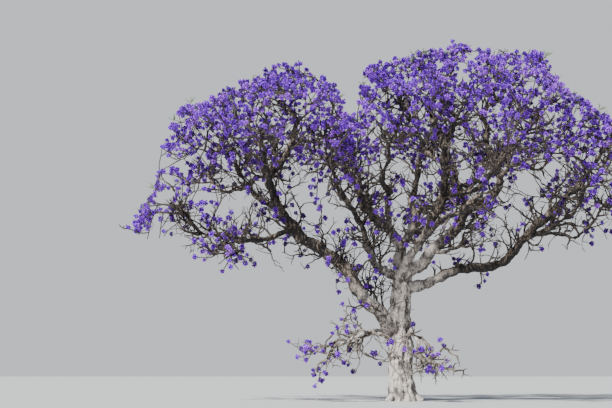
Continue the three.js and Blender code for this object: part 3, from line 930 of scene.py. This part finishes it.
# Keeps clusters apart: notes the place and tells whether it was free
def takesRoom(place):
    apart = panicleLook["apart"]
    cell = tuple(math.floor(value / apart) for value in place)
    for move in product((-1, 0, 1), repeat=3):
        near = paniclesByCell.get(tuple(a + b for a, b in zip(cell, move)), ())
        if any((place - other).length < apart for other in near):
            return False
    paniclesByCell.setdefault(cell, []).append(place)
    return True


def addPanicle(tone, place, way):
    size = between(*panicleLook["size"])
    turn = chance() * 2 * math.pi
    middle = place + way.normalized() * panicleLook["middle"]
    if isInside(middle, panicleLook["underLine"]) and isOffWood(middle) and takesRoom(middle):
        panicles.append((halfOf(place), tone, place, way.normalized(), size, turn))


# Blossom tones are painted light: clusters high in a mass are painted paler, those low in it and on inner
# shoots deeper, as lit and shaded copies of one colour; a random spread is added on top
toneLook = {
    "middle": 0.5,  # light in the middle of a mass
    "rise": 0.25,  # and how much more at its top
    "readAt": 0.6,  # where on a side spray its light is read
    "filling": 0.6,
    "shoots": 0.35,
    "stray": 0.7,
}
toneNames = ("pale", "lilac", "violet", "deep")


def toneOf(light):
    last = len(toneNames) - 1
    return min(last, max(0, math.floor((1 - light + toneLook["stray"] * (chance() - 0.5)) * (last + 1))))


# The painted light of a place in a mass: more towards its top
def paintedLightAt(place, own):
    return toneLook["middle"] + toneLook["rise"] * (place.z - own["heart"].z) / own["size"].z


twigLook = {
    "radius": (0.05, 0.028),  # of a twig, from stem to spray
    "axis": (0.03, 0.019),
    "twiglet": (0.017, 0.011),
    "stalk": (0.01, 0.007),
    "step": 0.2,
    "axisSteps": 7,
    "axisStart": 0.95,  # share of the bare twig where the axis of its spray begins
    "axisEnd": 0.95,  # share of a spray's length that its axis reaches
    "bow": 0.1,  # of the axis of a filling spray
    "freeBend": 0.6,  # how much of the wander that axis takes
}

sprayLook = {
    "twiglets": (10, 4, 1.3),  # on a full spray, at least, and how they fall with its size
    "rootShare": (0.02, 0.8),  # where they leave the spray's axis
    "rootStray": 0.7,
    "forward": (0.2, 0.94),  # how far on they end, as a share of the axis, and its limit
    "forwardStray": (0.7, 1.2),
    "sideReach": (0.4, 0.95),  # of the half width
    "leastWidth": 0.45,
    "depth": (-0.9, 1.0),  # of the half thickness
    "risers": 0.16,  # share of the twiglets that stand out of the spray
    "riserReach": (0.1, 0.3),
    "bend": 0.2,
    "bare": 0.3,  # share of the twiglets without blossom that grow at all
    "panicles": (0.4, 0.72),  # where along a twiglet clusters stand, besides its end
    "offset": 0.15,
    "offsetStray": (0.7, 1.4),
    "axisWay": (0.4, 0.5),  # of the cluster at the axis's end: up and at random
    "endWay": (0.6, 0.5, 0.35, 0.6),  # at a twiglet's end: along it, outwards, up and at random
    "sideWay": ((-0.6, 1.2), (-1, 1), 0.35),  # beside it: outwards, across and up
    "sideTurn": (0.3, 0.6),  # up and at random
}

# Young leaves stand at a few of the highest tips
leafLook = {
    "share": 0.05,  # of the tips near the crown's line
    "depth": 0.5,  # metres under that line
    "leaves": 4,
    "length": 0.3,
    "bow": 0.12,  # of its length
    "pairs": 7,
    "pairsFrom": 0.22,  # share of the stalk
    "lean": (-0.5, -1.5),  # of a pair and of the last leaflet
    "leaflet": (0.075, 0.02),  # length and width
    "leafletSize": (1.1, 0.5),  # in the middle of a leaf, and how much it falls off
    "stalk": 0.005,
    "spread": 0.75,  # radians from the twig's way
    "spreadStray": (0.5, 1.1),
}
leafTips = []
drawnTwigs = []  # the points of each twig and axis that is drawn, for what leaves it


def addStalked(side, tone, foot, place, way):
    addTube(twigStore[side], [foot, place], twigLook["stalk"], 3)
    addPanicle(tone, place, way)


def addTwiglet(side, light, root, end, outward):
    look = sprayLook
    if not isInside(end):
        return
    tone = toneOf(light)
    middle = root.lerp(end, 0.5) + jitter() * look["bend"]
    thick, thin = twigLook["twiglet"]
    way = (end - root).normalized()
    leafy = chance() < leafLook["share"] and not underLine(end, leafLook["depth"])
    flowers = chance() < flowering(end)
    if not leafy and not flowers and side != "low" and chance() > look["bare"]:
        return
    addTube(twigStore[side], [root, middle, end], [thick, lerp(thick, thin, 0.5), thin], 3)
    if leafy:
        leafTips.append((end, (way + up).normalized()))
    if leafy or not flowers:
        return
    ahead, out, lift, stray = look["endWay"]
    addPanicle(tone, end, way * ahead + outward * out + up * lift + jitter() * stray)
    across = way.cross(outward).normalized()
    outWay, acrossWay, lift = look["sideWay"]
    turn, stray = look["sideTurn"]
    for share in look["panicles"]:
        foot = along([root, middle, end], share)
        away = outward * between(*outWay) + across * between(*acrossWay) + up * lift
        place = foot + away.normalized() * look["offset"] * between(*look["offsetStray"])
        addStalked(side, tone, foot, place, away + up * turn + jitter() * stray)


# A place on a line of points, at a share of its steps
def along(points, share):
    place = min(max(share, 0), 1) * (len(points) - 1)
    i = min(math.floor(place), len(points) - 2)
    return points[i].lerp(points[i + 1], place - i)


def ruleAxis(line, start):
    steps = twigLook["axisSteps"]
    return [wander(line.point(lerp(start, 1, twigLook["axisEnd"] * i / steps))) for i in range(steps + 1)]


# The axis of a spray that leaves a drawn twig and ends where it is told to
def freeAxis(root, end):
    steps = twigLook["axisSteps"]
    line = shootLine(root, end, twigLook["bow"])
    points = []
    for i in range(steps + 1):
        place = line.point(i / steps)
        bend = twigLook["freeBend"] * math.sin(math.pi * i / steps)
        points.append(place + (wander(place) - place) * bend)
    return points


def dressSpray(points, facing, size, side, light):
    look = sprayLook
    inside = [isInside(point) for point in points] + [False]
    drawn = points[:inside.index(False)]
    if len(drawn) < 2:
        return
    last = len(drawn) - 1
    addTube(twigStore[side], drawn, [lerp(*twigLook["axis"], i / last) for i in range(last + 1)], 3)
    drawnTwigs.append(drawn)
    halfWidth = bloomRule["width"] * size / 2
    halfDepth = bloomRule["thickness"] * size / 2
    widest = bloomRule["widest"]
    heading = (points[-1] - points[0]).normalized()
    across = heading.cross(facing).normalized()
    outward = across.cross(heading).normalized()
    if outward.dot(facing) < 0:
        outward = -outward
    if chance() < flowering(drawn[-1]):
        lift, stray = look["axisWay"]
        addPanicle(toneOf(light), drawn[-1], heading + up * lift + jitter() * stray)
    full, least, power = look["twiglets"]
    count = max(least, round(full * size ** power))
    for j in range(count):
        u = lerp(*look["rootShare"], (j + look["rootStray"] * chance()) / count)
        v = min(look["forward"][1], u + look["forward"][0] * between(*look["forwardStray"]))
        profile = v / widest if v < widest else (1 - v) / (1 - widest)
        reach = halfWidth * max(look["leastWidth"], profile) * between(*look["sideReach"])
        lateral = across * (reach if j % 2 else -reach)
        depth = halfDepth * between(*look["depth"])
        if chance() < look["risers"]:
            depth = halfDepth + between(*look["riserReach"])
        if u < last / (len(points) - 1):
            end = along(points, v) + lateral + outward * depth
            addTwiglet(side, light, along(points, u), end, outward)


def dressMass(mass):
    own = mass["own"]
    side = sideOf(own["heart"])
    for shoot in mass["twigs"] + mass["sprays"]:
        line, bare = shoot["line"], shoot["bare"]
        if bare:
            steps = max(3, round(line.span * bare / twigLook["step"]))
            points = [wander(line.point(bare * i / steps)) for i in range(steps + 1)]
            radii = [lerp(*twigLook["radius"], i / steps) for i in range(steps + 1)]
            addTube(twigStore[side], points, radii, 5)
            drawnTwigs.append(points)
        light = paintedLightAt(line.point(1 if bare else toneLook["readAt"]), own)
        dressSpray(ruleAxis(line, bare * twigLook["axisStart"]), shoot["facing"], shoot["size"], side, light)


# Smaller sprays fill what the rule left open in the upper shell of each mass
fillLook = {
    "ways": 40,
    "lowest": 1.5,  # how far down they go on, of two
    "reach": 0.98,  # in half widths from the heart
    "margin": 0.12,
    "nearest": 0.3,  # to the twig that carries it
    "farthest": 1.5,
    "apart": 0.75,
    "middle": 0.6,
    "size": 0.6,
    "deepest": 2.6,  # metres under the crown's top
}


def fillMass(mass, drawn):
    look = fillLook
    own = mass["own"]
    roots = [point for points in drawn for point in points[2:]]
    taken = [along(points, look["middle"]) for points in drawn]
    for k in range(look["ways"]):
        level = 1 - look["lowest"] * (k + 0.5) / look["ways"]
        azimuth = k * bloomRule["turn"]
        flat = math.sqrt(1 - level * level)
        way = Vector((flat * math.cos(azimuth), flat * math.sin(azimuth), level))
        heartEnd = own["heart"] + scaled(way, own["size"]) * look["reach"]
        beyond = heartEnd + way * look["margin"]
        if not keepsToSpace([beyond], own) or crownTop(heartEnd) - heartEnd.z > look["deepest"]:
            continue
        end = wander(heartEnd)
        root = min(roots, key=lambda point: (point - end).length)
        middle = root.lerp(end, look["middle"])
        if not look["nearest"] <= (root - end).length <= look["farthest"]:
            continue
        if any((middle - other).length < look["apart"] for other in taken):
            continue
        taken.append(middle)
        dressSpray(freeAxis(root, end), way, look["size"], sideOf(own["heart"]), paintedLightAt(heartEnd, own))


# Small sprays reach from the nearest drawn twig to those of some ends that stand open
def fillOpen(look, roots, ends):
    clusters = [middle for cell in paniclesByCell.values() for middle in cell]
    for end in ends:
        root, _, away = roots.find(end)
        if not look["nearest"] <= away <= look["farthest"] or not isInside(end):
            continue
        if min((middle - end).length for middle in clusters) < look["open"]:
            continue
        dressSpray(freeAxis(root, end), up, look["size"], sideOf(end), toneLook["filling"])
        clusters.append(end)


def treeOfTwigs():
    return treeOfPlaces([point for points in drawnTwigs for point in points])


edgeLook = {
    "spacing": 0.3,
    "depths": (-2.6, -1.2, 0.2, 1.6),
    "depthStray": 0.8,
    "drop": 0.3,  # under the crown's line
    "dropStray": (0.6, 1.6),
    "open": 0.42,  # to the nearest cluster
    "nearest": 0,
    "farthest": 2.4,  # from the twig that carries it
    "size": 0.55,
}


def edgeEnds():
    look = edgeLook
    first, last = crownLine["x"][0], crownLine["x"][-1]
    for k in range(round((last - first) / look["spacing"])):
        for depth in look["depths"]:
            x = first + (k + chance()) * look["spacing"]
            y = depth + look["depthStray"] * (chance() - 0.5)
            yield onLine(x, y, look["drop"] * between(*look["dropStray"]))


# The upper shell, seen from above
shellFill = {
    "spacing": 0.55,
    "depth": (0.3, 0.9),
    "open": 0.6,
    "nearest": 0.25,
    "farthest": 2.2,
    "size": 0.42,
}


def shellEnds(i):
    look = shellFill
    (left, front, _), (_, back, _) = limits
    for j in range(math.floor((back - front) / look["spacing"])):
        x = left + (i + chance()) * look["spacing"]
        y = front + (j + chance()) * look["spacing"]
        yield Vector((x, y, crownTop(Vector((x, y, 0))) - between(*look["depth"])))


# Twisted side shoots fork off every limb, bare or with a few clusters at their tips
shootLook = {
    "onLimb": (0.2, 0.4, 1),  # share that has none, spacing and size
    "onTrunk": (0.45, 0.4, 1),
    "onOpenSide": (0.2, 0.22, 1.15),
    "openSide": ("left_leader", "left_low", "left_inner", "low_left"),
    "sideAt": 0.7,  # where on a limb the side of the crown is read
    "onStem": (0, 0.4, 0.7),
    "onTwig": (0.1, 1.3, 0.55),
    "leave": (0.5, 0.25),  # along what carries it, and up
    "length": (0.7, 2.2),
    "step": 0.17,
    "twist": 1.05,
    "radius": (0.052, 0.03, 0.018),  # by generation
    "tip": 0.013,
    "sides": (5, 4, 3),
    "lift": 0.08,  # how much it turns up at each step
    "lowStout": 1.3,  # times as thick on the low boughs
    "lowTwist": 1.35,
    "lowLift": -0.07,
    "underLine": 0.25,  # kept free under the crown's line
    "firstFork": 1,
    "forkEvery": 3,  # steps between two forks
    "forkShare": 0.75,  # length of a fork, of what is left
    "forkTurn": 0.9,
    "tipLift": 0.3,
    "second": 0.5,  # share of the flowering tips that have a second cluster
}


def growShoot(side, root, heading, length, depth):
    look = shootLook
    isLow = side == "low"
    stout = look["lowStout"] if isLow else 1
    twist = look["twist"] * (look["lowTwist"] if isLow else 1)
    lift = look["lowLift" if isLow else "lift"]
    steps = max(2, round(length / look["step"]))
    points = [root]
    headings = [heading]
    for i in range(steps):
        heading = (heading + jitter() * twist + up * lift).normalized()
        if not isInside(points[-1] + heading * look["step"], look["underLine"]):
            break
        points.append(points[-1] + heading * look["step"])
        headings.append(heading)
    if len(points) < 3:
        return
    last = len(points) - 1
    radii = [lerp(look["radius"][depth], look["tip"], i / last) * stout for i in range(last + 1)]
    addTube(twigStore[side], points, radii, look["sides"][depth])
    if depth < len(look["radius"]) - 1:
        for i in range(look["firstFork"], last, look["forkEvery"]):
            fork = headings[i] + jitter().normalized() * look["forkTurn"] + up * lift
            rest = (steps - i) * look["step"] * look["forkShare"]
            growShoot(side, points[i], fork.normalized(), rest, depth + 1)
    if chance() < flowering(points[-1]):
        tone = toneOf(toneLook["shoots"])
        addPanicle(tone, points[-1], headings[-1] + up * look["tipLift"])
        if chance() < look["second"]:
            beside = points[-2] + jitter().normalized() * sprayLook["offset"]
            addStalked(side, tone, points[-2], beside, headings[-1] + jitter())


def growShoots(side, points, start, spacing, size):
    span = sum((after - before).length for before, after in zip(points, points[1:]))
    count = max(1, round(span * (1 - start) / spacing))
    onward, lift = shootLook["leave"]
    step = 0.03
    for i in range(count):
        t = lerp(start, 1, (i + chance()) / count)
        way = (along(points, t + step) - along(points, t - step)).normalized()
        away = way.orthogonal().normalized()
        away.rotate(Quaternion(way, chance() * 2 * math.pi))
        heading = (away + way * onward + up * lift).normalized()
        length = lerp(*shootLook["length"], chance()) * size
        growShoot(side, along(points, t), heading, length, 0)


def linePoints(line):
    return [place for place, _ in tubeOf(line, lambda t: 1)]


drawnByMass = []
for mass in masses:
    first = len(drawnTwigs)
    dressMass(mass)
    drawnByMass.append(drawnTwigs[first:])
print("clusters of the rule:", len(panicles))
for mass, drawn in zip(masses, drawnByMass):
    fillMass(mass, drawn)
fillOpen(edgeLook, treeOfTwigs(), edgeEnds())
roots = treeOfTwigs()
for i in range(math.floor((limits[1].x - limits[0].x) / shellFill["spacing"])):
    fillOpen(shellFill, roots, shellEnds(i))
print("with filling sprays:", len(panicles))
for name, limb in limbs.items():
    kind = "onTrunk" if name == "trunk" else "onOpenSide" if name in shootLook["openSide"] else "onLimb"
    side = sideOf(limb["line"].point(shootLook["sideAt"]))
    growShoots(side, linePoints(limb["line"]), *shootLook[kind])
for mass, drawn in zip(masses, drawnByMass):
    side = sideOf(mass["own"]["heart"])
    growShoots(side, linePoints(mass["stem"]), *shootLook["onStem"])
    for points in drawn[:2 * len(mass["twigs"])]:
        growShoots(side, points, *shootLook["onTwig"])
print("sprays dressed:", len(panicles), "clusters")

flower = modelFlower(flowerLook)
flowerRim = (flower[0][:, 2] > flowerLook["length"] / 2).astype(float)
panicleDraw = randomFrom(seed * draws["clusters"])
shapes = [modelPanicle(panicleLook, flower, panicleDraw) for _ in range(panicleLook["variants"])]


def blossomPiece(name, chosen):
    copies = []
    for kind, shape in enumerate(shapes):
        for _, _, place, way, size, roll in chosen[kind::len(shapes)]:
            turn = placing(place, way) @ Matrix.Rotation(roll, 4, "Z")
            copies.append((shape, turn @ Matrix.Scale(size, 4)))
    piece = meshFrom(name, *joinCopies(copies))
    rim = np.tile(flowerRim, len(piece.data.vertices) // len(flowerRim))
    throat = piece.data.attributes.new("throat", "FLOAT", "POINT")
    throat.data.foreach_set("value", rim.astype(np.float32))
    return piece


# One leaflet lies flat along x from its foot
def modelLeaflet(length, width):
    bpy.ops.mesh.primitive_circle_add(
        vertices=6, radius=length / 2, fill_type="TRIFAN", location=(length / 2, 0, 0))
    leaflet = bpy.context.object
    bpy.ops.object.transform_apply(location=True, rotation=True, scale=True)
    openMesh()
    bpy.ops.transform.resize(value=(1, width / length, 1))
    closeMesh()
    return takeShape(leaflet)


# A leaf along +z: a thin stalk with pairs of leaflets
def modelLeaf(look, leaflet):
    length, bow, pairs = look["length"], look["bow"], look["pairs"]
    corners, faces = [], []
    points = [Vector((bow * length * (i / 3) ** 2, 0, length * i / 3)) for i in range(4)]
    addTube((corners, faces), points, [look["stalk"]] * 3 + [0], 3)
    stalk = np.array([tuple(corner) for corner in corners]), np.array(faces)
    copies = [(stalk, Matrix.Identity(4))]
    full, fall = look["leafletSize"]
    for k in range(pairs * 2 + 1):
        share = look["pairsFrom"] + (1 - look["pairsFrom"]) * (k // 2) / pairs
        side = 1 if k % 2 else -1
        lean = look["lean"][k // (pairs * 2)]
        place = Matrix.Translation((bow * length * share ** 2, 0, length * min(1, share)))
        turn = place @ Matrix.Rotation(side * math.pi / 2, 4, "Z") @ Matrix.Rotation(lean, 4, "Y")
        copies.append((leaflet, turn @ Matrix.Scale(full - fall * abs(share - 0.5), 4)))
    return joinCopies(copies)


def leafPiece(name, look):
    leaf = modelLeaf(look, modelLeaflet(*look["leaflet"]))
    copies = []
    for tip, way in leafTips:
        for k in range(look["leaves"]):
            azimuth = k * bloomRule["turn"] + chance()
            aside = spokeAt(azimuth) * look["spread"] * between(*look["spreadStray"])
            turn = placing(tip, (way + aside).normalized())
            copies.append((leaf, turn @ Matrix.Rotation(azimuth, 4, "Z")))
    return meshFrom(name, *joinCopies(copies))


youngLeaves = leafPiece("young_leaves", leafLook)
blossomPieces = {}
for side in ("left", "right"):
    for tone, toneName in enumerate(toneNames):
        chosen = [p for p in panicles if p[0] == side and p[1] == tone]
        blossomPieces[side, toneName] = blossomPiece(f"{side}_{toneName}_blossom_sprays", chosen)
twigPieces = {side: meshFrom(side + "_twigs", *store) for side, store in twigStore.items()}

# Finishes

barkColours = {
    "pale": (0.6, 0.54, 0.48, 1),
    "grey": (0.1, 0.085, 0.078, 1),
    "tan": (0.23, 0.175, 0.13, 1),
    # painted shade: near-black, as the limbs look in the crown's shade
    "dark": (0.017, 0.014, 0.013, 1),
    "twigTan": (0.15, 0.115, 0.085, 1),
    # painted shade: near-black, as the twigs look in the crown's shade
    "twigDark": (0.02, 0.016, 0.014, 1),
    "lowPale": (0.42, 0.36, 0.29, 1),
    "lowDark": (0.09, 0.075, 0.062, 1),
}
barkRamp = {"trunk": (0.41, 0.53), "limb": (0.5, 0.62), "twig": (0.42, 0.6), "leaf": (0.4, 0.6)}
barkPlace = {
    "inner": 0.55,  # metres from the trunk's middle where the pale bark starts to end
    "outer": 2.5,
    "low": 5.6,  # and metres up
    "high": 8.4,
    "lowBoughs": 3.5,  # below this all bark is pale
    # painted sunlight: the next two set a painted highlight, bark turned towards the sun is painted paler
    "paintedSun": (-0.5, -0.4, 0.77),  # sides turned this way are paler
    "paintedSunShare": 0.11,
}
grainLook = {
    "noise": (8, 0.64),  # detail and roughness
    "patches": (4, 0.3),  # detail, and scale by the grain's own
    "fissures": (1.3, 6),  # scale by the grain's own, and steepness
    "shares": (0.55, 0.45),  # of the noise and the patches in the mask
    "dip": 0.08,
    "ridge": 0.4,
}
# From pale to deep: painted light, lit and shaded copies of one blossom colour
blossomColours = {
    "pale": (0.53, 0.14, 1.0, 1),
    "lilac": (0.38, 0.07, 0.93, 1),
    "violet": (0.255, 0.03, 0.68, 1),
    "deep": (0.115, 0.009, 0.33, 1),
}
# Roughness, scale and stretch of the grain, strength and depth of its bumps
finishLook = {
    "bark": (0.9, 9.0, 0.4, 0.9, 0.035),
    "twig": (0.85, 14.0, 1.0, 0.5, 0.008),
    "leaf": (0.55, 6.0, 1.0, 0, 0),
}
petalRoughness = 0.65
# the throat's darkening is partly the flower's own tube colour, partly painted shade
throatShade = 0.45  # colour of a flower's throat, as a share of its rim's
leafColours = {"young": (0.2, 0.36, 0.05, 1), "old": (0.07, 0.17, 0.025, 1)}


# The nodes of one material, group or world: what a socket is given is another socket or a value
class NodeNet:
    def __init__(self, tree):
        self.tree = tree

    def feed(self, socket, value):
        if isinstance(value, bpy.types.NodeSocket):
            self.tree.links.new(value, socket)
        else:
            socket.default_value = value

    def add(self, kind, given=None, **settings):
        node = self.tree.nodes.new("ShaderNode" + kind)
        for name, value in settings.items():
            setattr(node, name, value)
        for name, value in (given or {}).items():
            self.feed(node.inputs[name], value)
        return node.outputs

    def math(self, operation, first, second=0.0, clamp=False):
        return self.add("Math", {0: first, 1: second}, operation=operation, use_clamp=clamp)["Value"]

    def ramp(self, mask, places, colours):
        ramp = self.tree.nodes.new("ShaderNodeValToRGB")
        for element, place, colour in zip(ramp.color_ramp.elements, places, colours):
            element.position = place
            element.color = colour
        self.feed(ramp.inputs["Fac"], mask)
        return ramp.outputs["Color"]

    def mix(self, share, first, second):
        return self.add("Mix", {"Factor": share, "A": first, "B": second}, data_type="RGBA")["Result"]


def newMaterial(name, roughness):
    material = bpy.data.materials.new(name)
    material.use_nodes = True
    shader = material.node_tree.nodes["Principled BSDF"].inputs
    shader["Roughness"].default_value = roughness
    return material, NodeNet(material.node_tree), shader


def newGroup(name, inputs, outputs):
    group = bpy.data.node_groups.new(name, "ShaderNodeTree")
    for way, sockets in (("INPUT", inputs), ("OUTPUT", outputs)):
        for label, kind in sockets.items():
            group.interface.new_socket(name=label, in_out=way, socket_type="NodeSocket" + kind)
    given = group.nodes.new("NodeGroupInput")
    result = group.nodes.new("NodeGroupOutput")
    return group, NodeNet(group), given.outputs, result.inputs


# Bark seen in patches and fine fissures, stretched along the upright
def makeGrain(look):
    group, net, given, result = newGroup(
        "barkGrain", {"Scale": "Float", "Stretch": "Float"}, {"Mask": "Float", "Height": "Float"})
    place = net.add("TexCoord")["Object"]
    stretch = net.add("CombineXYZ", {"X": 1, "Y": 1, "Z": given["Stretch"]})["Vector"]
    stretched = net.add("VectorMath", {0: place, 1: stretch}, operation="MULTIPLY")["Vector"]
    detail, rough = look["noise"]
    fine = net.add("TexNoise", {
        "Detail": detail, "Roughness": rough, "Scale": given["Scale"], "Vector": stretched})["Fac"]
    detail, wide = look["patches"]
    patches = net.add("TexNoise", {
        "Detail": detail, "Scale": net.math("MULTIPLY", given["Scale"], wide), "Vector": place})["Fac"]
    narrow, steep = look["fissures"]
    scale = net.math("MULTIPLY", given["Scale"], narrow)
    fissures = net.add("TexVoronoi", {"Scale": scale, "Vector": stretched}, feature="DISTANCE_TO_EDGE")
    ridges = net.math("MULTIPLY", fissures["Distance"], steep, True)
    parts = [net.math("MULTIPLY", part, share) for part, share in zip((fine, patches), look["shares"])]
    dip = net.math("MULTIPLY", net.math("SUBTRACT", 1, ridges), look["dip"])
    net.feed(result["Mask"], net.math("SUBTRACT", net.math("ADD", *parts), dip))
    net.feed(result["Height"], net.math("ADD", fine, net.math("MULTIPLY", ridges, look["ridge"])))
    return group


# Darker towards the throat of each flower: partly the flower's own darker tube, partly painted shade in that
# hollow
def makePetalTint():
    group, net, given, result = newGroup(
        "petalTint", {"Rim": "Color", "Throat": "Color"}, {"Colour": "Color"})
    share = net.add("Attribute", attribute_name="throat")["Fac"]
    net.feed(result["Colour"], net.mix(share, given["Throat"], given["Rim"]))
    return group


barkGrain = makeGrain(grainLook)
petalTint = makePetalTint()


def grainMaterial(name, look):
    roughness, scale, stretch, strength, depth = look
    material, net, shader = newMaterial(name, roughness)
    grain = net.add("Group", {"Scale": scale, "Stretch": stretch}, node_tree=barkGrain)
    if strength:
        bump = net.add("Bump", {"Strength": strength, "Distance": depth, "Height": grain["Height"]})
        net.feed(shader["Normal"], bump["Normal"])
    return material, net, shader, grain["Mask"]


# Pale on the trunk, where the limbs leave it and on the low boughs, dark further out: that dark limb tone is
# painted shade, where the crown shades the limbs
def barkFinish(name, look):
    material, net, shader, grain = grainMaterial(name, finishLook["bark"])
    # Painted sunlight: bark turned towards the sun is painted paler, on top of its grain
    normal = net.add("NewGeometry")["Normal"]
    facing = net.add("VectorMath", {0: normal, 1: look["paintedSun"]}, operation="DOT_PRODUCT")["Value"]
    mask = net.math("ADD", grain, net.math("MULTIPLY", facing, look["paintedSunShare"]))
    trunkTone = net.ramp(mask, barkRamp["trunk"], (barkColours["grey"], barkColours["pale"]))
    # Painted shade: the limbs' near-black tone stands for the crown's shade on them
    limbTone = net.ramp(mask, barkRamp["limb"], (barkColours["dark"], barkColours["tan"]))
    split = net.add("SeparateXYZ", {"Vector": net.add("TexCoord")["Object"]})
    squares = [net.math("MULTIPLY", split[axis], split[axis]) for axis in "XY"]
    outside = net.math("SUBTRACT", look["outer"], net.math("SQRT", net.math("ADD", *squares)))
    under = net.math("SUBTRACT", look["high"], split["Z"])
    near = net.math("DIVIDE", outside, look["outer"] - look["inner"], True)
    low = net.math("DIVIDE", under, look["high"] - look["low"], True)
    lowest = net.math("SUBTRACT", look["lowBoughs"], split["Z"], True)
    pale = net.math("MAXIMUM", net.math("MULTIPLY", near, low), lowest)
    net.feed(shader["Base Color"], net.mix(pale, limbTone, trunkTone))
    return material


def plainFinish(name, kind, dark, light):
    material, net, shader, mask = grainMaterial(name, finishLook[kind])
    net.feed(shader["Base Color"], net.ramp(mask, barkRamp[kind], (dark, light)))
    return material


def blossomFinish(name, colour):
    material, net, shader = newMaterial(name, petalRoughness)
    throat = [value * throatShade for value in colour[:3]] + [1]
    tint = net.add("Group", {"Rim": colour, "Throat": throat}, node_tree=petalTint)
    net.feed(shader["Base Color"], tint["Colour"])
    return material


bark = barkFinish("bark", barkPlace)
for piece in barkPieces:
    piece.data.materials.append(bark)
twigBark = plainFinish("twigBark", "twig", barkColours["twigDark"], barkColours["twigTan"])
lowTwigBark = plainFinish("lowTwigBark", "twig", barkColours["lowDark"], barkColours["lowPale"])
for side, piece in twigPieces.items():
    piece.data.materials.append(lowTwigBark if side == "low" else twigBark)
finishes = {name: blossomFinish(name + "Blossom", colour) for name, colour in blossomColours.items()}
for (side, toneName), piece in blossomPieces.items():
    piece.data.materials.append(finishes[toneName])
youngLeaf = plainFinish("youngLeaf", "leaf", leafColours["old"], leafColours["young"])
youngLeaves.data.materials.append(youngLeaf)

# Light and floor

lightLook = {
    "sun": 7.4,
    "softness": 0.05,
    "turn": (0.8, 0.0, -0.7),
    "sky": 0.26,
    "skyColour": (0.66, 0.8, 1.0, 1),
    "backdrop": 0.8,
    "backdropColour": (0.9, 0.92, 0.96, 1),
    "floorColour": (0.7, 0.7, 0.68, 1),
    "floorSize": 900,
    "floorRoughness": 0.5,
}
bpy.ops.object.light_add(type="SUN", rotation=lightLook["turn"])
sun = bpy.context.object
sun.name = "sun"
sun.data.energy = lightLook["sun"]
sun.data.angle = lightLook["softness"]


def addWorld(look):
    world = bpy.data.worlds.new("studio")
    bpy.context.scene.world = world
    world.use_nodes = True
    net = NodeNet(world.node_tree)
    glow = world.node_tree.nodes["Background"]
    glow.inputs["Color"].default_value = look["skyColour"]
    glow.inputs["Strength"].default_value = look["sky"]
    backdrop = net.add("Background", {"Color": look["backdropColour"], "Strength": look["backdrop"]})
    seen = net.add("LightPath")["Is Camera Ray"]
    mixed = net.add("MixShader", {0: seen, 1: glow.outputs["Background"], 2: backdrop["Background"]})
    net.feed(world.node_tree.nodes["World Output"].inputs["Surface"], mixed["Shader"])


addWorld(lightLook)

bpy.ops.mesh.primitive_plane_add(size=lightLook["floorSize"], location=(0, 0, 0))
floor = bpy.context.object
floor.name = "floor"
floorFinish, _, floorShader = newMaterial("floorPaint", lightLook["floorRoughness"])
floorShader["Base Color"].default_value = lightLook["floorColour"]
floor.data.materials.append(floorFinish)

# What each piece rides on and stands for

for piece in [*barkPieces, *twigPieces.values()]:
    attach(piece, "root")
for piece in blossomPieces.values():
    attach(piece, "root")
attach(youngLeaves, "root")
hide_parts("trunk", *mainLimbs)
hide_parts(*leftBoughs)
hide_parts(*rightBoughs)
for (side, toneName), piece in blossomPieces.items():
    names = leftBoughs if side == "left" else rightBoughs
    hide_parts(*[f"{name}_blossom" for name in names])
